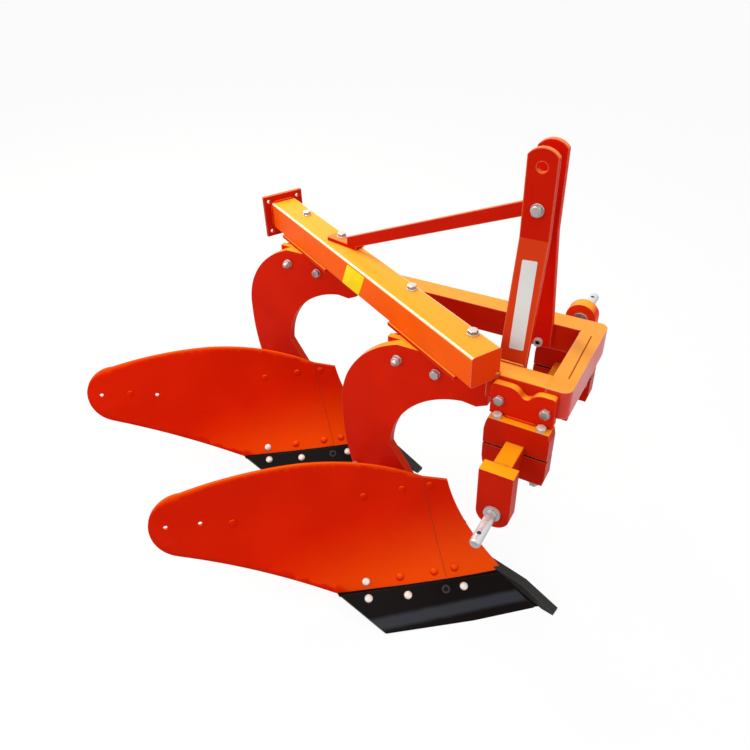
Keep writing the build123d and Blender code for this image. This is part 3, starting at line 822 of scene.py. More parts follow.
class Shape:
    """Points and faces of one piece with +Z out of its seat: points in metres, sizes in millimetres."""

    HEX_POINTS: int = 48
    HEX_RIM: float = 0.95
    HEX_CROWN: Pair = (0.86, 1.02)
    HEX_CHAMFER: float = 30.0
    THREAD_CORE: float = 0.92
    THREAD_TURN: tuple[Pair, ...] = ((0.92, 0.15), (1.0, 0.5), (0.92, 0.85))
    THREAD_TIP: Pair = (0.9, 0.7)
    THREAD_SIDES: int = 28
    SLAB_ARC: int = 6
    SLAB_LEVELS: tuple[Pair, ...] = ((1.0, 0.0), (1.0, 0.7), (0.99, 1.0))
    SHARP: float = 32.0

    def __init__(self) -> None:
        """Starts empty."""
        self.points: list[Vector] = []
        self.faces: list[tuple[int, ...]] = []

    def _stack(self, first: int, count: int, rings: int) -> "Shape":
        """Joins rings of points one above the other and closes the last.

        Args:
            first: index of the first ring's first point.
            count: points in a ring.
            rings: number of rings.

        Returns:
            The shape itself.
        """
        for low in range(first, first + (rings - 1) * count, count):
            for step in range(count):
                after = (step + 1) % count
                self.faces.append((low + step, low + after, low + count + after, low + count + step))
        self.faces.append(tuple(first + (rings - 1) * count + step for step in range(count)))
        return self

    def turned(self, profile: list[Pair] | tuple[Pair, ...], sides: int) -> "Shape":
        """Turns a profile about Z.

        Args:
            profile: (radius, height) pairs from the seat outwards.
            sides: points around.

        Returns:
            The shape itself.
        """
        first = len(self.points)
        for radius, height in profile:
            for step in range(sides):
                angle = 2 * math.pi * step / sides
                self.points.append(Vector((radius * math.cos(angle), radius * math.sin(angle), height)) * MM)
        return self._stack(first, sides, len(profile))

    def hexagon(self, flats: float, height: float, base: float = 0.0) -> "Shape":
        """Adds a hexagonal head with turned-down corners.

        Args:
            flats: width across the flats.
            height: height of the head.
            base: height where it starts.

        Returns:
            The shape itself.
        """
        inner = flats / 2
        rim = inner * self.HEX_RIM
        crown, rise = self.HEX_CROWN
        levels: list[list[Vector]] = [[], [], [], []]
        for step in range(self.HEX_POINTS):
            angle = 2 * math.pi * step / self.HEX_POINTS
            off = (angle + math.pi / 6) % (math.pi / 3) - math.pi / 6
            reach = inner / math.cos(off)
            way = Vector((math.cos(angle), math.sin(angle), 0))
            drop = (reach - rim) * math.tan(math.radians(self.HEX_CHAMFER))
            levels[0].append(way * reach + Z * base)
            levels[1].append(way * reach + Z * (base + height - drop))
            levels[2].append(way * rim + Z * (base + height))
            levels[3].append(way * rim * crown + Z * (base + height * rise))
        first = len(self.points)
        for level in levels:
            self.points += [point * MM for point in level]
        return self._stack(first, self.HEX_POINTS, len(levels))

    def thread(self, radius: float, length: float, base: float, pitch: float = 2.0) -> "Shape":
        """Adds a threaded bolt end with a chamfered tip.

        Args:
            radius: outer radius of the thread.
            length: length of the thread.
            base: height where it starts.
            pitch: distance from turn to turn.

        Returns:
            The shape itself.
        """
        profile = [(radius * self.THREAD_CORE, base)]
        for turn in range(int(length / pitch)):
            low = base + turn * pitch
            profile += [(radius * wide, low + pitch * at) for wide, at in self.THREAD_TURN]
        shoulder, tip = self.THREAD_TIP
        profile += [(radius * shoulder, base + length), (radius * tip, base + length + pitch)]
        return self.turned(profile, self.THREAD_SIDES)

    def slab(self, corners: list[Vector], normal: Vector, thick: float, rounding: float) -> "Shape":
        """Adds a thin plate on four corners.

        Args:
            corners: corners in order, on the surface.
            normal: the way out of the surface.
            thick: thickness.
            rounding: corner radius.

        Returns:
            The shape itself.
        """
        outline: list[Vector] = []
        total = len(corners)
        for index, corner in enumerate(corners):
            before = corner + (corners[index - 1] - corner).normalized() * (rounding * MM)
            after = corner + (corners[(index + 1) % total] - corner).normalized() * (rounding * MM)
            for step in range(self.SLAB_ARC + 1):
                t = step / self.SLAB_ARC
                outline.append(before * (1 - t) ** 2 + corner * 2 * t * (1 - t) + after * t ** 2)
        middle = sum(corners, Vector()) / total
        first = len(self.points)
        for share, height in self.SLAB_LEVELS:
            self.points += [middle + (p - middle) * share + normal * (thick * MM * height) for p in outline]
        return self._stack(first, len(outline), len(self.SLAB_LEVELS))

    def bead(
        self, path: list[Vector], one: Vector, two: Vector, size: float, seed: int, span: float = 90.0
    ) -> "Shape":
        """Adds a rippled weld bead along a line.

        Args:
            path: points of the corner or line that it follows.
            one: direction along the first surface, its length as a share of size.
            two: direction along the second surface or out of it.
            size: leg length of the bead.
            seed: seed of its unevenness.
            span: 90 in a corner, 180 on a flat surface.

        Returns:
            The shape itself.
        """
        chance = random.Random(seed)
        leg = size * MM
        stops: list[Vector] = []
        for low, high in zip(path, path[1:]):
            count = max(2, int((high - low).length / (leg * BEAD.stop_step)))
            stops += [low.lerp(high, step / count) for step in range(count)]
        stops.append(path[-1])
        first = len(self.points)
        last = len(stops) - 1
        for index, stop in enumerate(stops):
            near = min(index, last - index) / BEAD.tapered_stops
            swell = min(1.0, BEAD.end_size + (1 - BEAD.end_size) * near)
            wave = BEAD.wave * math.sin(index * 2 * math.pi / BEAD.wave_stops)
            ripple = 1 + wave + chance.uniform(-BEAD.unevenness, BEAD.unevenness)
            ahead = (stops[min(index + 1, last)] - stops[max(index - 1, 0)]).normalized()
            for step in range(BEAD.facets + 1):
                angle = math.radians(span * step / BEAD.facets)
                bulge = math.sin(math.pi * step / BEAD.facets)
                belly = 1 - BEAD.belly + BEAD.belly * bulge if span < BEAD.flat_span else 1.0
                out = (one * math.cos(angle) + two * math.sin(angle)) * (leg * swell * ripple * belly)
                self.points.append(stop + out + ahead * (bulge * leg * BEAD.lag))
        width = BEAD.facets + 1
        for index in range(last):
            for step in range(BEAD.facets):
                here = first + index * width + step
                self.faces.append((here, here + 1, here + 1 + width, here + width))
        return self

    def mesh(self, name: str, seat: Seat | None) -> bpy.types.Mesh:
        """Makes the mesh, smooth between its sharp corners.

        Args:
            name: name of the mesh.
            seat: where it sits, or None if it is drawn in place.

        Returns:
            The new mesh.
        """
        made = bpy.data.meshes.new(name)
        move = seat.matrix() if seat else Matrix.Identity(4)
        made.from_pydata([move @ p for p in self.points], [], self.faces)
        made.validate()
        made.shade_smooth()
        made.set_sharp_from_angle(angle=math.radians(self.SHARP))
        return made


@dataclass(frozen=True)
class Fastener:
    """Sizes of one kind of bolt or nut, in millimetres."""

    flats: float = 24.0
    head: float = 10.0
    washer: float = 15.0
    washer_thick: float = 2.6
    shank: float = 16.0
    tail: float = 0.0
    rim_height: float = 0.75
    rim_radius: float = 0.96
    washer_bore: float = 0.4
    sides: int = 36

    def shape(self) -> Shape:
        """Draws the washer, the hexagon and, where a nut is meant, the bolt end beyond it.

        Returns:
            The shape.
        """
        made = Shape()
        edge, thick = self.washer, self.washer_thick
        if self.washer:
            rim = [(edge, 0), (edge, thick * self.rim_height), (edge * self.rim_radius, thick)]
            made.turned([*rim, (self.flats * self.washer_bore, thick)], self.sides)
        made.hexagon(self.flats, self.head, thick if self.washer else 0.0)
        if self.tail:
            made.thread(self.shank / 2, self.tail, self.head + thick)
        return made


def dome(radius: float, height: float) -> Shape:
    """Draws a low round head with a soft rim.

    Args:
        radius: radius of the head, in millimetres.
        height: height of the head.

    Returns:
        The shape.
    """
    sunk, rim, steps, flat, sides = -0.6, 0.16, 8, 0.04, 32
    profile = [(radius, sunk), (radius, height * rim)]
    for step in range(1, steps):
        angle = math.radians(90 * step / steps)
        profile.append((radius * math.cos(angle), height * (rim + (1 - rim) * math.sin(angle))))
    profile.append((radius * flat, height))
    return Shape().turned(profile, sides)


class Paintshop:
    """Makes every finish once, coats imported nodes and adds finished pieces."""

    def __init__(self) -> None:
        """Makes the shared groups."""
        self.effects = Effects()
        self.made: dict[str, bpy.types.Material] = {}

    def get(self, finish: Finish) -> bpy.types.Material:
        """Finds a finish's material, which is made on its first use.

        Args:
            finish: the finish.

        Returns:
            Its material.
        """
        if finish.name not in self.made:
            self.made[finish.name] = finish.material(self.effects)
        return self.made[finish.name]

    def coat(self, node: str, material: bpy.types.Material) -> None:
        """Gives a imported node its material."""
        for place in frame["nodes"][node].material_slots:
            place.material = material

    def add(
        self, name: str, mesh: bpy.types.Mesh, finishes: tuple[Finish, ...], body: Body = Body.PLOUGH
    ) -> bpy.types.Object:
        """Adds a mesh as a piece.

        Args:
            name: name of the piece.
            mesh: its mesh.
            finishes: its finishes, one material each, in their order.
            body: body that it rides on.

        Returns:
            The new object.
        """
        mesh.materials.clear()
        for finish in finishes:
            mesh.materials.append(self.get(finish))
        made = bpy.data.objects.new(name, mesh)
        bpy.context.scene.collection.objects.link(made)
        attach(made, body.value)
        LOG.info("piece %s: %d faces", name, len(mesh.polygons))
        return made

    def piece(
        self, shape: Shape, name: str, finish: Finish, seat: Seat | None = None, body: Body = Body.PLOUGH
    ) -> bpy.types.Object:
        """Adds a shape as a piece.

        Args:
            shape: what to make.
            name: name of the piece.
            finish: its finish.
            seat: where it sits, or None if it is drawn in place.
            body: body that it rides on.

        Returns:
            The new object.
        """
        return self.add(name, shape.mesh(name, seat), (finish,), body)


# Sub-assemblies


@dataclass
class BeamDress:
    """Bolts on the beam's top, its rolled edges, the yellow plate on its side and the end plate's welds."""

    shop: Paintshop
    bolt: Fastener = Fastener(24.0, 10.0, 15.5, 2.6)
    seats: tuple[Pair, ...] = ((85, 23), (357, 24), (735, 16), (973, 14))
    bolt_turn: float = 0.3
    clearance: float = 100.0
    plate: tuple[Pair, ...] = ((537.0, 715.5), (497.0, 792.0), (596.0, 792.0), (636.0, 715.5))
    plate_thick: float = 0.6
    plate_rounding: float = 6.0
    edge_radius: float = 16.0
    edge_segments: int = 6
    long_run: float = 50.0
    along_share: float = 0.99
    tolerance: float = 1.0
    merge_distance: float = 0.02
    flat_angle: float = 0.5
    sharp_angle: float = 24.0
    cap_share: float = 0.9
    weld: float = 7.0
    weld_inset: float = 8.0

    def build(self) -> None:
        """Builds every piece on the beam."""
        skin = Surface("main_beam", "stay_bar")
        for index, (along, across) in enumerate(self.seats):
            start = DRAWING.on_beam(along, across, DRAWING.beam_top + self.clearance)
            turned = DRAWING.back.cross(Z) + DRAWING.back * (self.bolt_turn * index)
            seat = skin.seat(start, -Z, turned)
            self.shop.piece(self.bolt.shape(), f"beam_top_bolt_{index + 1}", ZINC, seat)
        self.rounded_beam()
        corners = [DRAWING.on_beam(along, -DRAWING.beam_size / 2, z) for along, z in self.plate]
        label = Shape().slab(corners, -DRAWING.left, self.plate_thick, self.plate_rounding)
        self.shop.piece(label, "yellow_side_plate", YELLOW_PLATE)
        self.end_welds()

    def is_long_corner(self, edge: bmesh.types.BMEdge) -> bool:
        """Tells whether an edge is one of the box beam's outer long corners.

        Args:
            edge: an edge of the beam's mesh.

        Returns:
            True for the edges that are rolled.
        """
        half = DRAWING.beam_size / 2 * MM
        near = self.tolerance * MM
        start = DRAWING.on_beam(0, 0, DRAWING.beam_top - DRAWING.beam_size / 2)
        ends = [v.co - start for v in edge.verts]
        run = ends[0] - ends[1]
        if run.length < self.long_run * MM or abs(run.normalized().dot(DRAWING.back)) < self.along_share:
            return False
        return all(abs(abs(p.dot(DRAWING.left)) - half) < near and abs(abs(p.z) - half) < near for p in ends)

    def rounded_beam(self) -> None:
        """Makes the box beam with its rolled long edges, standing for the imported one."""
        work = bmesh.new()
        work.from_mesh(frame["nodes"]["main_beam"].data)
        bmesh.ops.remove_doubles(work, verts=work.verts, dist=self.merge_distance * MM)
        flat = math.radians(self.flat_angle)
        bmesh.ops.dissolve_limit(work, angle_limit=flat, verts=work.verts, edges=work.edges)
        rolled = [edge for edge in work.edges if self.is_long_corner(edge)]
        bmesh.ops.bevel(
            work, geom=rolled, offset=self.edge_radius * MM, segments=self.edge_segments, profile=0.5,
            affect="EDGES", clamp_overlap=True,
        )
        mesh = bpy.data.meshes.new("rolled_edge_beam")
        work.to_mesh(mesh)
        work.free()
        mesh.shade_smooth()
        mesh.set_sharp_from_angle(angle=math.radians(self.sharp_angle))
        made = self.shop.add("rolled_edge_beam", mesh, (LIT_BEAM_ENAMEL, SHADED_CAP_ENAMEL))
        # Faces of the front end cap take the darker copy: painted shade.
        for face in mesh.polygons:
            face.material_index = int(face.normal.dot(-DRAWING.back) > self.cap_share)
        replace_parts(made, "main_beam")

    def end_welds(self) -> None:
        """Lays the beads where the beam meets its end plate."""
        half = DRAWING.beam_size / 2
        top, bottom = DRAWING.beam_top, DRAWING.beam_top - DRAWING.beam_size
        right_low, right_high, left_low, left_high = (
            DRAWING.on_beam(DRAWING.beam_length, across, z) for across in (-half, half) for z in (bottom, top)
        )
        shape = Shape()
        for start, stop, out, seed in (
            (right_high, right_low, -DRAWING.left, 3),
            (left_high, left_low, DRAWING.left, 4),
            (right_high, left_high, Z, 5),
        ):
            path = shortened(start, stop, self.weld_inset)
            shape.bead(path, out, -DRAWING.back, self.weld, seed=seed)
        self.shop.piece(shape, "end_plate_weld", BODY_ENAMEL)


@dataclass
class MastDress:
    """White plate, bush on the left leg, foot welds and the bolt through both legs."""

    shop: Paintshop
    bolt: Fastener = Fastener(25.0, 9.5, 16.5, 2.2)
    nut: Fastener = Fastener(26.0, 11.0, 17.0, 2.4, 18.0)
    shank: float = 9.8
    tail_limit: float = 9.0
    nut_cover: float = 15.5
    bolt_tilt: float = 0.35
    bore_clearance: float = 15.0
    bolt_cast: float = 100.0
    label_cast: float = 200.0
    bush_cast: float = 60.0
    label: tuple[Spot, ...] = (
        (521.3, 50.7, 758.1), (558.5, 51.1, 759.7), (554.0, 102.0, 980.1), (516.5, 100.9, 978.0),
    )
    label_thick: float = 0.6
    label_rounding: float = 4.0
    bush: Spot = (538.8, 251.0, 664.0)
    bush_profile: tuple[Pair, ...] = ((13, 0), (13, 9), (12, 10.5), (7.5, 10.5), (6.6, 9.6), (6.4, 3))
    bore_shade_profile: tuple[Pair, ...] = ((6.3, 3), (6.3, 8.6), (5.6, 9.0))
    weld: float = 6.0
    weld_inset: float = 4.0

    def build(self) -> None:
        """Builds every piece on the mast."""
        self.plate()
        self.bush_ring()
        self.welds()
        self.through_bolt()

    def plate(self) -> None:
        """Lays the blank white plate on the right leg's slanted face."""
        skin = Surface("mast_leg_right")
        seats = [skin.seat(DRAWING.spot(x, y - self.label_cast, z), Y, X) for x, y, z in self.label]
        corners = [seat.point for seat in seats]
        label = Shape().slab(corners, seats[0].normal, self.label_thick, self.label_rounding)
        self.shop.piece(label, "white_mast_plate", WHITE_PLATE)

    def bush_ring(self) -> None:
        """Sets the open bush on the left leg's inner face; its bore is a near-black plug of painted shade."""
        x, y, z = self.bush
        seat = Surface("mast_leg_left").seat(DRAWING.spot(x, y - self.bush_cast, z), Y, X)
        self.shop.piece(Shape().turned(self.bush_profile, 36), "left_leg_bush", PALE_ZINC, seat)
        self.shop.piece(Shape().turned(self.bore_shade_profile, 28), "left_leg_bush_bore_shade", HOLE_SHADE, seat)

    def welds(self) -> None:
        """Lays the beads along the legs' feet on the rails' tops."""
        for side, name, seed in ((-1, "right", 11), (1, "left", 12)):
            low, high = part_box(f"frame_rail_{name}")
            leg_low, leg_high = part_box(f"mast_leg_{name}")
            edge = high.y if side < 0 else low.y
            ends = [Vector((x, edge, high.z)) for x in (leg_low.x, leg_high.x)]
            shape = Shape().bead(shortened(*ends, self.weld_inset), Y * side, Z, self.weld, seed=seed)
            self.shop.piece(shape, f"mast_foot_weld_{name}", RAIL_ENAMEL)

    def through_bolt(self) -> None:
        """Sets the bolt through both legs, with its head on the right and its nut on the left."""
        low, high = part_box("mast_bolt")
        middle = (low + high) / 2
        tilt = X + Z * self.bolt_tilt
        above = Z * (self.bore_clearance * MM)
        start, stop = (
            Vector((middle.x, y, middle.z)) + above
            for y in (low.y - self.bolt_cast * MM, high.y + self.bolt_cast * MM)
        )
        right = Surface("mast_leg_right").seat(start, Y, tilt)
        left = Surface("mast_leg_left").seat(stop, -Y, tilt)
        right, left = (replace(seat, point=seat.point - above) for seat in (right, left))
        through = (left.point.y - right.point.y) / MM
        head = self.bolt.shape().turned([(self.shank, -through - 1), (self.shank, 1)], 28)
        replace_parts(self.shop.piece(head, "mast_bolt_head", ZINC, right), "mast_bolt")
        tail = min(self.tail_limit, (high.y - left.point.y) / MM - self.nut_cover)
        self.shop.piece(replace(self.nut, tail=tail).shape(), "mast_bolt_nut", ZINC, left)


@dataclass
class FrameDress:
    """Seam of the front bar, corner welds, the lugs under the frame and the weld under the beam's front."""

    shop: Paintshop
    seam: tuple[Pair, ...] = ((677.0, 252.0), (681.0, 42.0))
    seam_size: float = 2.2
    seam_form: Pair = (0.8, 0.25)
    flat_weld: float = 4.0
    flat_form: Triple = (0.9, 0.22, 0.3)
    corner_weld: float = 6.0
    insets: Triple = (6.0, 8.0, 4.0)
    lug_x: Pair = (688.0, 703.0)
    lugs: tuple[Triple, ...] = ((150.0, 22.0, 18.0), (-6.0, 14.0, 10.0))
    lug_rounding: float = 3.0
    beam_foot: float = 722.0
    beam_corner: tuple[Pair, ...] = ((0, 30), (0, 45), (34, 45))
    beam_weld: float = 8.0

    def build(self) -> None:
        """Builds every piece on the hitch frame."""
        low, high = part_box("frame_front_bar")
        path = [DRAWING.spot(x, y, high.z / MM) for x, y in self.seam]
        wide, high_share = self.seam_form
        seam = Shape().bead(path, X * wide, Z * high_share, self.seam_size, seed=21, span=180)
        self.shop.piece(seam, "front_bar_seam", SEAM_ENAMEL)
        for name, seed in (("right", 22), ("left", 23)):
            self.corner(name, seed)
        near, far = self.lug_x
        for index, (y, width, depth) in enumerate(self.lugs):
            corners = ((near, y + width), (far, y + width), (far, y), (near, y))
            base = [DRAWING.spot(*corner, low.z / MM) for corner in corners]
            lug = Shape().slab(base, -Z, depth, self.lug_rounding)
            self.shop.piece(lug, f"frame_lug_{index + 1}", MAST_ENAMEL)
        self.beam_welds()

    def corner(self, name: str, seed: int) -> None:
        """Lays the beads above, outside and inside where the front bar meets a rail.

        Args:
            name: right or left.
            seed: seed of the beads' unevenness.
        """
        low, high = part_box("frame_front_bar")
        rail_low, rail_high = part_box(f"frame_rail_{name}")
        outer, inner, inward = rail_low.y, rail_high.y, Y
        if name == "left":
            outer, inner, inward = rail_high.y, rail_low.y, -Y
        above = [Vector((low.x, y, high.z)) for y in (rail_low.y, rail_high.y)]
        outside = [Vector((low.x, outer, z)) for z in (low.z, high.z)]
        inside = [Vector((low.x, inner, z)) for z in (low.z, high.z)]
        above, outside, inside = (
            shortened(*ends, inset) for ends, inset in zip((above, outside, inside), self.insets)
        )
        wide, rise, stand = self.flat_form
        shape = Shape()
        shape.bead(above, X * wide, Z * rise, self.flat_weld, seed=seed, span=180)
        shape.bead(outside, X * wide, -inward * stand, self.flat_weld, seed=seed + 5, span=180)
        shape.bead(inside, -X, inward, self.corner_weld, seed=seed + 9)
        self.shop.piece(shape, f"frame_corner_weld_{name}", FRAME_ENAMEL)

    def beam_welds(self) -> None:
        """Lays the lumpy bead where the beam's front end sits on the right rail."""
        start, corner, tail = (DRAWING.on_beam(*place, self.beam_foot) for place in self.beam_corner)
        shape = Shape().bead([start, corner], -DRAWING.back, Z, self.beam_weld, seed=31)
        shape.bead([corner, tail], DRAWING.left, Z, self.beam_weld, seed=32)
        self.shop.piece(shape, "beam_front_weld", FRAME_ENAMEL)


@dataclass
class ClampDress:
    """Bolts and welds of the saddles and split clamps, and welds of the cranks."""

    shop: Paintshop
    saddle_bolt: Fastener = Fastener(24.0, 11.0, 0.0, 0.0)
    top_bolt: Fastener = Fastener(22.0, 11.0, 0.0, 0.0)
    saddle_reach: float = 59.0
    saddle_z: float = 663.0
    saddle_cast: float = 100.0
    bolt_turn: float = 0.3
    stud_reach: float = 57.0
    weld: float = 6.0
    saddle_inset: float = 40.0
    crank_inset: float = 5.0

    def build(self) -> None:
        """Builds the pieces of both sides."""
        for side, name in ((-1, "right"), (1, "left")):
            self.saddle(side, name)
            self.crank_weld(side, name)

    def saddle(self, side: int, name: str) -> None:
        """Sets the bolts of one side's saddle and clamp, and lays the weld between them.

        Args:
            side: -1 on the right, 1 on the left.
            name: right or left.
        """
        skin = Surface(f"saddle_{name}")
        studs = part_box(f"clamp_studs_{name}")
        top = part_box(f"clamp_upper_{name}")[1].z
        low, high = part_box(f"saddle_{name}")
        face = low.y if side < 0 else high.y
        for index, reach in enumerate((-1, 1)):
            start = DRAWING.spot(DRAWING.hitch_x + reach * self.saddle_reach, 0, self.saddle_z)
            start.y = face + side * self.saddle_cast * MM
            turn = self.bolt_turn + index
            seat = skin.seat(start, -Y * side, X * math.cos(turn) + Z * math.sin(turn))
            self.shop.piece(self.saddle_bolt.shape(), f"saddle_bolt_{name}_{index + 1}", ZINC, seat)
            point = DRAWING.spot(DRAWING.hitch_x + reach * self.stud_reach, 0, 0)
            point.y = (studs[0].y + studs[1].y) / 2
            point.z = top
            seat = Seat(point, Z, X)
            self.shop.piece(self.top_bolt.shape(), f"clamp_bolt_{name}_{index + 1}", PALE_ZINC, seat)
        path = shortened(Vector((low.x, face, top)), Vector((high.x, face, top)), self.saddle_inset)
        shape = Shape().bead(path, Y * side, Z, self.weld, seed=41 + side)
        self.shop.piece(shape, f"saddle_weld_{name}", BODY_ENAMEL)

    def crank_weld(self, side: int, name: str) -> None:
        """Lays the bead around the square shaft on a crank's inner face.

        Args:
            side: -1 on the right, 1 on the left.
            name: right or left.
        """
        low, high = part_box("cross_shaft")
        at = low.y if side < 0 else high.y
        ring = ((low.x, low.z), (high.x, low.z), (high.x, high.z), (low.x, high.z))
        corners = [Vector((x, at, z)) for x, z in ring]
        shape = Shape()
        for index, way in enumerate((-Z, X, Z, -X)):
            path = shortened(corners[index], corners[(index + 1) % 4], self.crank_inset)
            shape.bead(path, way, -Y * side, self.weld, seed=51 + index + side)
        self.shop.piece(shape, f"crank_weld_{name}", SHAFT_ENAMEL, body=Body.SHAFT)


@dataclass
class BodyDress:
    """Fasteners, open holes, seams, edge strip and stay of one plough body."""

    shop: Paintshop
    rear: bool
    name: str = field(init=False)
    skin: Surface = field(init=False)
    leg_bolts: tuple[Pair, ...] = ((-256.0, 651.0), (-140.0, 642.0))
    leg_nut: Fastener = Fastener(24.0, 12.0, 14.5, 2.6, 16.0, 8.0)
    leg_head: Fastener = Fastener(24.0, 10.0, 14.5, 2.6)
    face_nut: Fastener = Fastener(19.0, 9.0, 11.5, 2.0, 12.0, 6.0)
    upper: tuple[Pair, ...] = ((-257, 285), (-142, 283), (-59, 277))
    upper_head: Pair = (11.0, 4.0)
    lower: tuple[Pair, ...] = ((-284, 75), (-185, 74), (-84, 73), (-22, 73))
    lower_head: Pair = (11.5, 6.0)
    wing: tuple[Pair, ...] = ((-798, 338), (-710, 320), (-627, 296))
    wing_head: Pair = (10.5, 4.0)
    hole_radius: float = 6.0
    drill_reach: float = 30.0
    share: tuple[Pair, ...] = ((-286, 55), (-173, 66), (-8, 72))
    share_head: Pair = (12.0, 8.0)
    spare: Pair = (-61, 70)
    spare_rim: tuple[Pair, ...] = ((12, -0.2), (12, 0.5), (11.2, 0.8), (7.2, 0.35))
    spare_hole_shade: tuple[Pair, ...] = ((6.8, 0.0), (6.8, 0.45))
    face_cast: float = 300.0
    rear_cast: float = -400.0
    share_cast: float = 200.0
    leg_cast: float = -100.0
    left_cast: float = 200.0
    bolt_tilts: Triple = (0.35, 0.15, 0.2)
    landside_bolts: tuple[float, ...] = (-160.0, -270.0, -380.0)
    landside_z: float = 62.0
    landside_head: Pair = (11.0, 3.5)
    seam: tuple[Pair, Pair] = ((-50.5, 58.0), (-77.5, 303.0))
    seam_steps: int = 12
    seam_size: float = 1.4
    seam_form: Triple = (0.7, 0.75, 0.5)
    lug_weld: Pair = (-290.0, -120.0)
    lug_y: float = 56.0
    weld: float = 6.0
    stay_start: Spot = (-405.0, 10.0, 192.0)
    stay_stop: Spot = (-560.0, -113.0, 258.0)
    stay_nut: Triple = (30.0, 14.0, 4.0)
    stay_thread: tuple[float, float, float, int] = (9.8, 10.5, 1.2, 40)
    stay_shank: Pair = (11.0, 50.0)
    stay_foot: tuple[Pair, ...] = ((11.0, 30.0), (13.0, 12.0), (12.0, 0.0))
    lip_upper: tuple[tuple[Spot, Spot], ...] = (
        ((-366, 36, 62.5), (-372, 15, 60.0)),
        ((-208, 44, 58.5), (-208, 29, 58.2)),
        ((-50, 52, 54.5), (-50, 37, 56.2)),
        ((60, 58, 52.0), (60, 40, 54.0)),
        ((109, 60, 50.5), (118, 40, 53.0)),
    )
    lip_side: tuple[tuple[Spot, Spot], ...] = (
        ((106, 58, 51.2), (112, 58, 50.5)),
        ((145, 113, 23.0), (154, 113, 22.5)),
        ((176, 157, 1.2), (191, 158, 1.2)),
    )
    lip_back: float = 2.0
    lip_thick: float = 5.0
    lip_ground: float = 0.2

    def __post_init__(self) -> None:
        """Names the body and gathers its working face."""
        self.name = "rear" if self.rear else "front"
        self.skin = Surface(f"{self.name}_mouldboard", f"{self.name}_shin")

    def build(self) -> None:
        """Builds the body's pieces."""
        for index, spot in enumerate(self.upper):
            self.add(dome(*self.upper_head), f"upper_dome_{index + 1}", BODY_ENAMEL, self.face_seat(*spot))
        for index, spot in enumerate(self.lower):
            finish = BODY_ENAMEL if index else PALE_ZINC
            self.add(dome(*self.lower_head), f"lower_dome_{index + 1}", finish, self.face_seat(*spot))
        self.add(dome(*self.wing_head), "wing_dome", BODY_ENAMEL, self.face_seat(*self.filled_wing))
        self.pierced([spot for spot in self.wing if spot != self.filled_wing])
        self.share_bolts()
        self.leg_fasteners()
        self.bracket_weld()
        self.share_lip()
        self.shin_seam()
        self.low_stay()
        self.rear_nuts()

    def add(self, shape: Shape, name: str, finish: Finish, seat: Seat | None = None) -> bpy.types.Object:
        """Adds a piece under the body's own name.

        Args:
            shape: what to make.
            name: rest of the piece's name.
            finish: its finish.
            seat: where it sits, or None if it is drawn in place.

        Returns:
            The new object.
        """
        return self.shop.piece(shape, f"{self.name}_{name}", finish, seat)

    @property
    def filled_wing(self) -> Pair:
        """The one bolt hole of the wing that holds a bolt."""
        return self.wing[1 if self.rear else 2]

    def face_seat(self, place: float, height: float) -> Seat:
        """Finds a seat on the mouldboard or shin.

        Args:
            place: distance along the cutting edge, in millimetres.
            height: height above the ground.

        Returns:
            The seat.
        """
        start = DRAWING.on_body(self.rear, place, self.face_cast, height)
        return self.skin.seat(start, -DRAWING.face, DRAWING.edge)

    def pierced(self, spots: list[Pair]) -> None:
        """Makes the mouldboard with its open bolt holes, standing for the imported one.

        Args:
            spots: places of the holes along the edge and up.
        """
        scene = bpy.context.scene.collection.objects
        node = f"{self.name}_mouldboard"
        blank = bpy.data.objects.new("blank", frame["nodes"][node].data.copy())
        scene.link(blank)
        drill_sides = 28
        cutters = []
        for spot in spots:
            reach = self.drill_reach
            drill = Shape().turned([(self.hole_radius, -reach), (self.hole_radius, reach)], drill_sides)
            drill.faces.append(tuple(range(drill_sides - 1, -1, -1)))
            move = self.face_seat(*spot).matrix()
            drilled = bpy.data.meshes.new("drill")
            drilled.from_pydata([move @ p for p in drill.points], [], drill.faces)
            cutter = bpy.data.objects.new("drill", drilled)
            scene.link(cutter)
            cut = blank.modifiers.new("hole", "BOOLEAN")
            cut.operation, cut.solver, cut.object = "DIFFERENCE", "EXACT", cutter
            cutters.append(cutter)
        bpy.context.view_layer.update()
        mesh = bpy.data.meshes.new_from_object(blank.evaluated_get(bpy.context.evaluated_depsgraph_get()))
        for spent in (blank, *cutters):
            bpy.data.objects.remove(spent)
        made = self.shop.add(f"{self.name}_pierced_mouldboard", mesh, (BODY_ENAMEL,))
        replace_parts(made, node)

    def share_bolts(self) -> None:
        """Sets the round bolt heads and one spare countersunk hole on the share; the hole's inside is a
        near-black disc of painted shade.
        """
        skin = Surface(f"{self.name}_share")
        seats = [
            skin.seat(DRAWING.on_body(self.rear, place, out, self.share_cast), -Z, DRAWING.edge)
            for place, out in (*self.share, self.spare)
        ]
        for index, seat in enumerate(seats[:-1]):
            self.add(dome(*self.share_head), f"share_bolt_{index + 1}", PALE_ZINC, seat)
        self.add(Shape().turned(self.spare_rim, 30), "share_countersink", POINT_ENAMEL, seats[-1])
        self.add(Shape().turned(self.spare_hole_shade, 24), "share_hole_shade", HOLE_SHADE, seats[-1])

    def leg_fasteners(self) -> None:
        """Sets a nut with its bolt end and a bolt head on the leg's right face, and their other ends."""
        *tilts, back_tilt = self.bolt_tilts
        skin = Surface(f"{self.name}_leg")
        kinds = (self.leg_nut, self.leg_head)
        for index, (x, z) in enumerate(self.leg_bolts):
            start = DRAWING.beside_body(self.rear, x, self.leg_cast, z)
            seat = skin.seat(start, Y, X + Z * tilts[index])
            self.add(kinds[index].shape(), f"leg_bolt_{index + 1}", ZINC, seat)
        back = Surface(f"{self.name}_bracket")
        for index, (x, z) in enumerate(self.leg_bolts):
            start = DRAWING.beside_body(self.rear, x, self.left_cast, z)
            seat = back.seat(start, -Y, X + Z * back_tilt)
            self.add(kinds[1 - index].shape(), f"leg_bolt_{index + 3}", ZINC, seat)

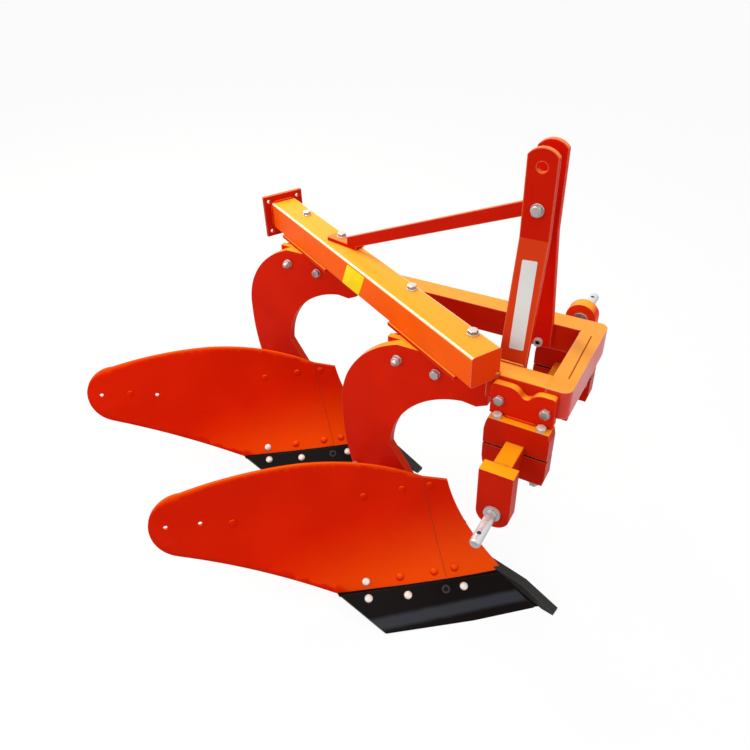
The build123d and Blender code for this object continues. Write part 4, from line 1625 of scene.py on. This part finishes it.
    def bracket_weld(self) -> None:
        """Lays the bead between the bracket's lug and its flange."""
        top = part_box(f"{self.name}_leg")[1].z / MM
        path = [DRAWING.beside_body(self.rear, x, self.lug_y, top) for x in self.lug_weld]
        self.add(Shape().bead(path, Y, -Z, self.weld, seed=61), "lug_weld", BODY_ENAMEL)

    def share_lip(self) -> None:
        """Draws the share's edge strip under the mouldboard's foot and against the bar point."""
        shape = Shape()
        for run in (self.lip_upper, self.lip_side):
            first = len(shape.points)
            for pair in run:
                for place, out, z in pair:
                    shape.points.append(DRAWING.on_body(self.rear, place, out, z))
                for place, out, z in pair:
                    low = max(z - self.lip_thick, self.lip_ground)
                    shape.points.append(DRAWING.on_body(self.rear, place, out - self.lip_back, low))
            last = len(shape.points) - 4
            for a in range(first, last, 4):
                b = a + 4
                shape.faces += [(a, a + 1, b + 1, b), (a + 2, b + 2, b + 3, a + 3)]
                shape.faces += [(a + 1, a + 3, b + 3, b + 1), (a, b, b + 2, a + 2)]
            shape.faces += [(first, first + 2, first + 3, first + 1), (last, last + 1, last + 3, last + 2)]
        self.add(shape, "share_lip", BLACK_ENAMEL)

    def shin_seam(self) -> None:
        """Draws the thin dark joint line between the shin and the mouldboard."""
        foot, head = Vector(self.seam[0]), Vector(self.seam[1])
        wide, rise, sunk = self.seam_form
        steps = self.seam_steps
        seats = [self.face_seat(*foot.lerp(head, step / steps)) for step in range(steps + 1)]
        path = [seat.point - seat.normal * (sunk * MM) for seat in seats]
        out = seats[steps // 2].normal * rise
        bead = Shape().bead(path, DRAWING.edge * wide, out, self.seam_size, seed=71, span=180)
        self.add(bead, "shin_seam", SEAM_ENAMEL)

    def low_stay(self) -> None:
        """Makes the round stay from the leg to the mouldboard's wing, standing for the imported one."""
        start = DRAWING.beside_body(self.rear, *self.stay_start)
        way = DRAWING.on_body(self.rear, *self.stay_stop) - start
        seat = Seat(start, way.normalized(), Z)
        length = way.length / MM
        core, crest, step, turns = self.stay_thread
        profile = [(crest if turn % 2 else core, step * turn) for turn in range(turns)]
        profile += [self.stay_shank, *((radius, length - rest) for radius, rest in self.stay_foot)]
        stay = self.add(Shape().turned(profile, 28), "low_stay", BODY_ENAMEL, seat)
        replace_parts(stay, f"{self.name}_wing_stay")
        self.add(Shape().hexagon(*self.stay_nut), "stay_nut", ZINC, seat)

    def rear_nuts(self) -> None:
        """Sets the nuts behind the mouldboard and the round heads on the landside."""
        skin = Surface(f"{self.name}_mouldboard")
        for index, (place, height) in enumerate((*self.upper[:2], self.filled_wing)):
            start = DRAWING.on_body(self.rear, place, self.rear_cast, height)
            seat = skin.seat(start, DRAWING.face, DRAWING.edge)
            self.add(self.face_nut.shape(), f"face_nut_{index + 1}", ZINC, seat)
        side = Surface(f"{self.name}_landside")
        for index, x in enumerate(self.landside_bolts):
            start = DRAWING.beside_body(self.rear, x, self.left_cast, self.landside_z)
            seat = side.seat(start, -Y, X)
            self.add(dome(*self.landside_head), f"landside_bolt_{index + 1}", ZINC, seat)


@dataclass(frozen=True)
class Coats:
    """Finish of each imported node: the named ones here, and body enamel on the rest."""

    named: tuple[tuple[Finish, tuple[str, ...]], ...] = (
        (LIT_BEAM_ENAMEL, ("main_beam",)),
        (SHADED_PLATE_ENAMEL, ("beam_end_plate",)),
        (FRAME_ENAMEL, ("frame_front_bar",)),
        (RAIL_ENAMEL, ("frame_rail_right", "frame_rail_left")),
        (MAST_ENAMEL, ("mast_leg_right", "stay_bar")),
        (LIT_LEFT_MAST_ENAMEL, ("mast_leg_left",)),
        (SHAFT_ENAMEL, ("cross_shaft", "crank_right", "clamp_upper_right", "clamp_upper_left")),
        (SHADED_LOWER_CLAMP_ENAMEL, ("clamp_lower_right", "clamp_lower_left")),
        (LIT_FAR_CRANK_ENAMEL, ("crank_left",)),
        (LEG_ENAMEL, ("front_leg", "rear_leg", "front_bracket", "rear_bracket")),
        (LEG_ENAMEL, ("saddle_right", "saddle_left")),
        (POINT_ENAMEL, ("front_bar_point", "rear_bar_point")),
        (ZINC, ("mast_bolt", "clamp_studs_right", "clamp_studs_left")),
        (PIN_ZINC, ("hitch_pin_right", "hitch_pin_left")),
    )
    # Distances of the share's painted reflection band from the body's datum, in millimetres.
    painted_reflection: Pair = (100.0, 142.0)

    def apply(self, shop: Paintshop) -> None:
        """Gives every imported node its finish.

        Args:
            shop: where the finishes are made.
        """
        plan = {node: finish for finish, nodes in self.named for node in nodes}
        for name in frame["nodes"]:
            if name.endswith("_share"):
                shop.coat(name, self.share(shop, name))
            else:
                shop.coat(name, shop.get(plan.get(name, BODY_ENAMEL)))
        LOG.info("coated %d packed nodes", len(frame["nodes"]))

    def share(self, shop: Paintshop, name: str) -> bpy.types.Material:
        """Makes black enamel with the lighter band, a painted reflection, along a share's cutting edge.

        Args:
            shop: where the finish is made.
            name: the share's node.

        Returns:
            The material.
        """
        datum = DRAWING.on_body(name.startswith("rear"), 0, 0, 0).dot(DRAWING.face)
        start, stop = (datum + reach * MM for reach in self.painted_reflection)
        finish = replace(BLACK_ENAMEL, name=f"{name}_enamel")
        return finish.material(shop.effects, ReflectionBand(DRAWING.face, start, stop))


@dataclass(frozen=True)
class Lamp:
    """A soft lamp: its place and size in metres and its power in watts."""

    name: str
    place: Spot
    size: float
    power: float
    target: Spot = (0.1, 0.0, 0.5)


@dataclass
class Studio:
    """Pale floor, soft lamps, even surroundings and the camera."""

    camera_at: Spot = (0.98929, -1.36142, 1.7523)
    camera_turn: Triple = (53.5872, 1.8143, 29.7302)
    lens: float = 33.658
    sensor: float = 36.0
    sight: float = 200.0
    floor_size: float = 80.0
    floor_grey: float = 0.88
    floor_white: float = 0.92
    ambient: float = 0.60
    lamps: tuple[Lamp, ...] = (
        Lamp("overhead", (0.2, -0.3, 3.6), 2.6, 40.0),
        Lamp("front_left", (-1.8, -3.2, 2.3), 2.2, 56.0),
        Lamp("front_right", (3.4, -1.2, 1.6), 2.0, 21.0),
    )
    strip_lamp: Lamp = Lamp("strip", (-1.6, 1.1, 2.35), 2.8, 56.0, (0.0, 0.1, 0.8))
    strip_width: float = 0.4
    strip_colour: Colour = (1.0, 0.93, 0.82)

    def build(self) -> None:
        """Builds the studio."""
        self.camera()
        self.floor()
        self.surroundings()
        for lamp in self.lamps:
            made = self.light(lamp)
            away = made.location - Vector(lamp.target)
            made.rotation_euler = away.to_track_quat("Z", "Y").to_euler()
        self.strip()

    @staticmethod
    def light(lamp: Lamp) -> bpy.types.Object:
        """Makes a square lamp at its place.

        Args:
            lamp: its description.

        Returns:
            The lamp's object.
        """
        data = bpy.data.lights.new(lamp.name, "AREA")
        data.energy = lamp.power
        data.size = lamp.size
        made = bpy.data.objects.new(lamp.name, data)
        made.location = lamp.place
        bpy.context.scene.collection.objects.link(made)
        return made

    def strip(self) -> None:
        """Hangs the long lamp over the beam's line, which draws the light line on its edge."""
        made = self.light(self.strip_lamp)
        made.data.shape = "RECTANGLE"
        made.data.size_y = self.strip_width
        made.data.color = self.strip_colour
        back = DRAWING.back
        out = made.location - Vector(self.strip_lamp.target)
        out = (out - back * out.dot(back)).normalized()
        turn = Matrix((back, out.cross(back), out)).transposed()
        made.matrix_world = Matrix.Translation(made.location) @ turn.to_4x4()

    def camera(self) -> None:
        """Sets the camera at the photograph's view."""
        data = bpy.data.cameras.new("camera")
        data.lens = self.lens
        data.sensor_width = self.sensor
        data.clip_end = self.sight
        made = bpy.data.objects.new("camera", data)
        made.location = self.camera_at
        made.rotation_euler = [math.radians(angle) for angle in self.camera_turn]
        bpy.context.scene.collection.objects.link(made)
        bpy.context.scene.camera = made

    @staticmethod
    def seen(graph: Graph) -> bpy.types.NodeSocket:
        """Tells whether a ray comes from the camera, a gloss or a clear surface.

        Args:
            graph: graph to work in.

        Returns:
            1 for such a ray, else 0.
        """
        path = graph.node("ShaderNodeLightPath")
        either = graph.math("MAXIMUM", path.outputs["Is Camera Ray"], path.outputs["Is Glossy Ray"])
        return graph.math("MAXIMUM", either, path.outputs["Is Transmission Ray"])

    def floor(self) -> None:
        """Lays the plain pale floor, which keeps a soft shadow."""
        half = self.floor_size / 2
        corners = [(-half, -half, 0), (half, -half, 0), (half, half, 0), (-half, half, 0)]
        mesh = bpy.data.meshes.new("floor")
        mesh.from_pydata(corners, [], [(0, 1, 2, 3)])
        made = bpy.data.objects.new("floor", mesh)
        bpy.context.scene.collection.objects.link(made)
        paint = bpy.data.materials.new("studio_floor")
        graph = opened(paint)
        grey = opaque((self.floor_grey,) * 3)
        plain = graph.node("ShaderNodeBsdfPrincipled", Base_Color=grey, Roughness=0.9, Specular_IOR_Level=0.0)
        glow = graph.node("ShaderNodeEmission", Color=(1, 1, 1, 1), Strength=1.0)
        blend = graph.node("ShaderNodeMixShader")
        graph.feed(blend.inputs[0], graph.times(self.seen(graph), self.floor_white))
        graph.feed(blend.inputs[1], plain.outputs[0])
        graph.feed(blend.inputs[2], glow.outputs[0])
        graph.end(blend)
        mesh.materials.append(paint)

    def surroundings(self) -> None:
        """Makes the even pale surroundings, white where they are seen."""
        world = bpy.data.worlds.new("surroundings")
        graph = opened(world)
        strength = graph.ramp(self.seen(graph), 0.0, 1.0, self.ambient, 1.0)
        sky = graph.node("ShaderNodeBackground", Color=(1, 1, 1, 1), Strength=strength)
        graph.end(sky, "ShaderNodeOutputWorld")
        bpy.context.scene.world = world


def main() -> None:
    """Builds the studio and every sub-assembly."""
    logging.basicConfig(level=logging.INFO, format="%(message)s")
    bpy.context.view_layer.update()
    bpy.context.scene.view_settings.view_transform = "Standard"
    Studio().build()
    shop = Paintshop()
    Coats().apply(shop)
    dresses = [BeamDress(shop), MastDress(shop), FrameDress(shop), ClampDress(shop)]
    dresses += [BodyDress(shop, rear) for rear in (False, True)]
    for dress in dresses:
        dress.build()
        LOG.info("built %s", type(dress).__name__)


if __name__ == "__main__":
    main()
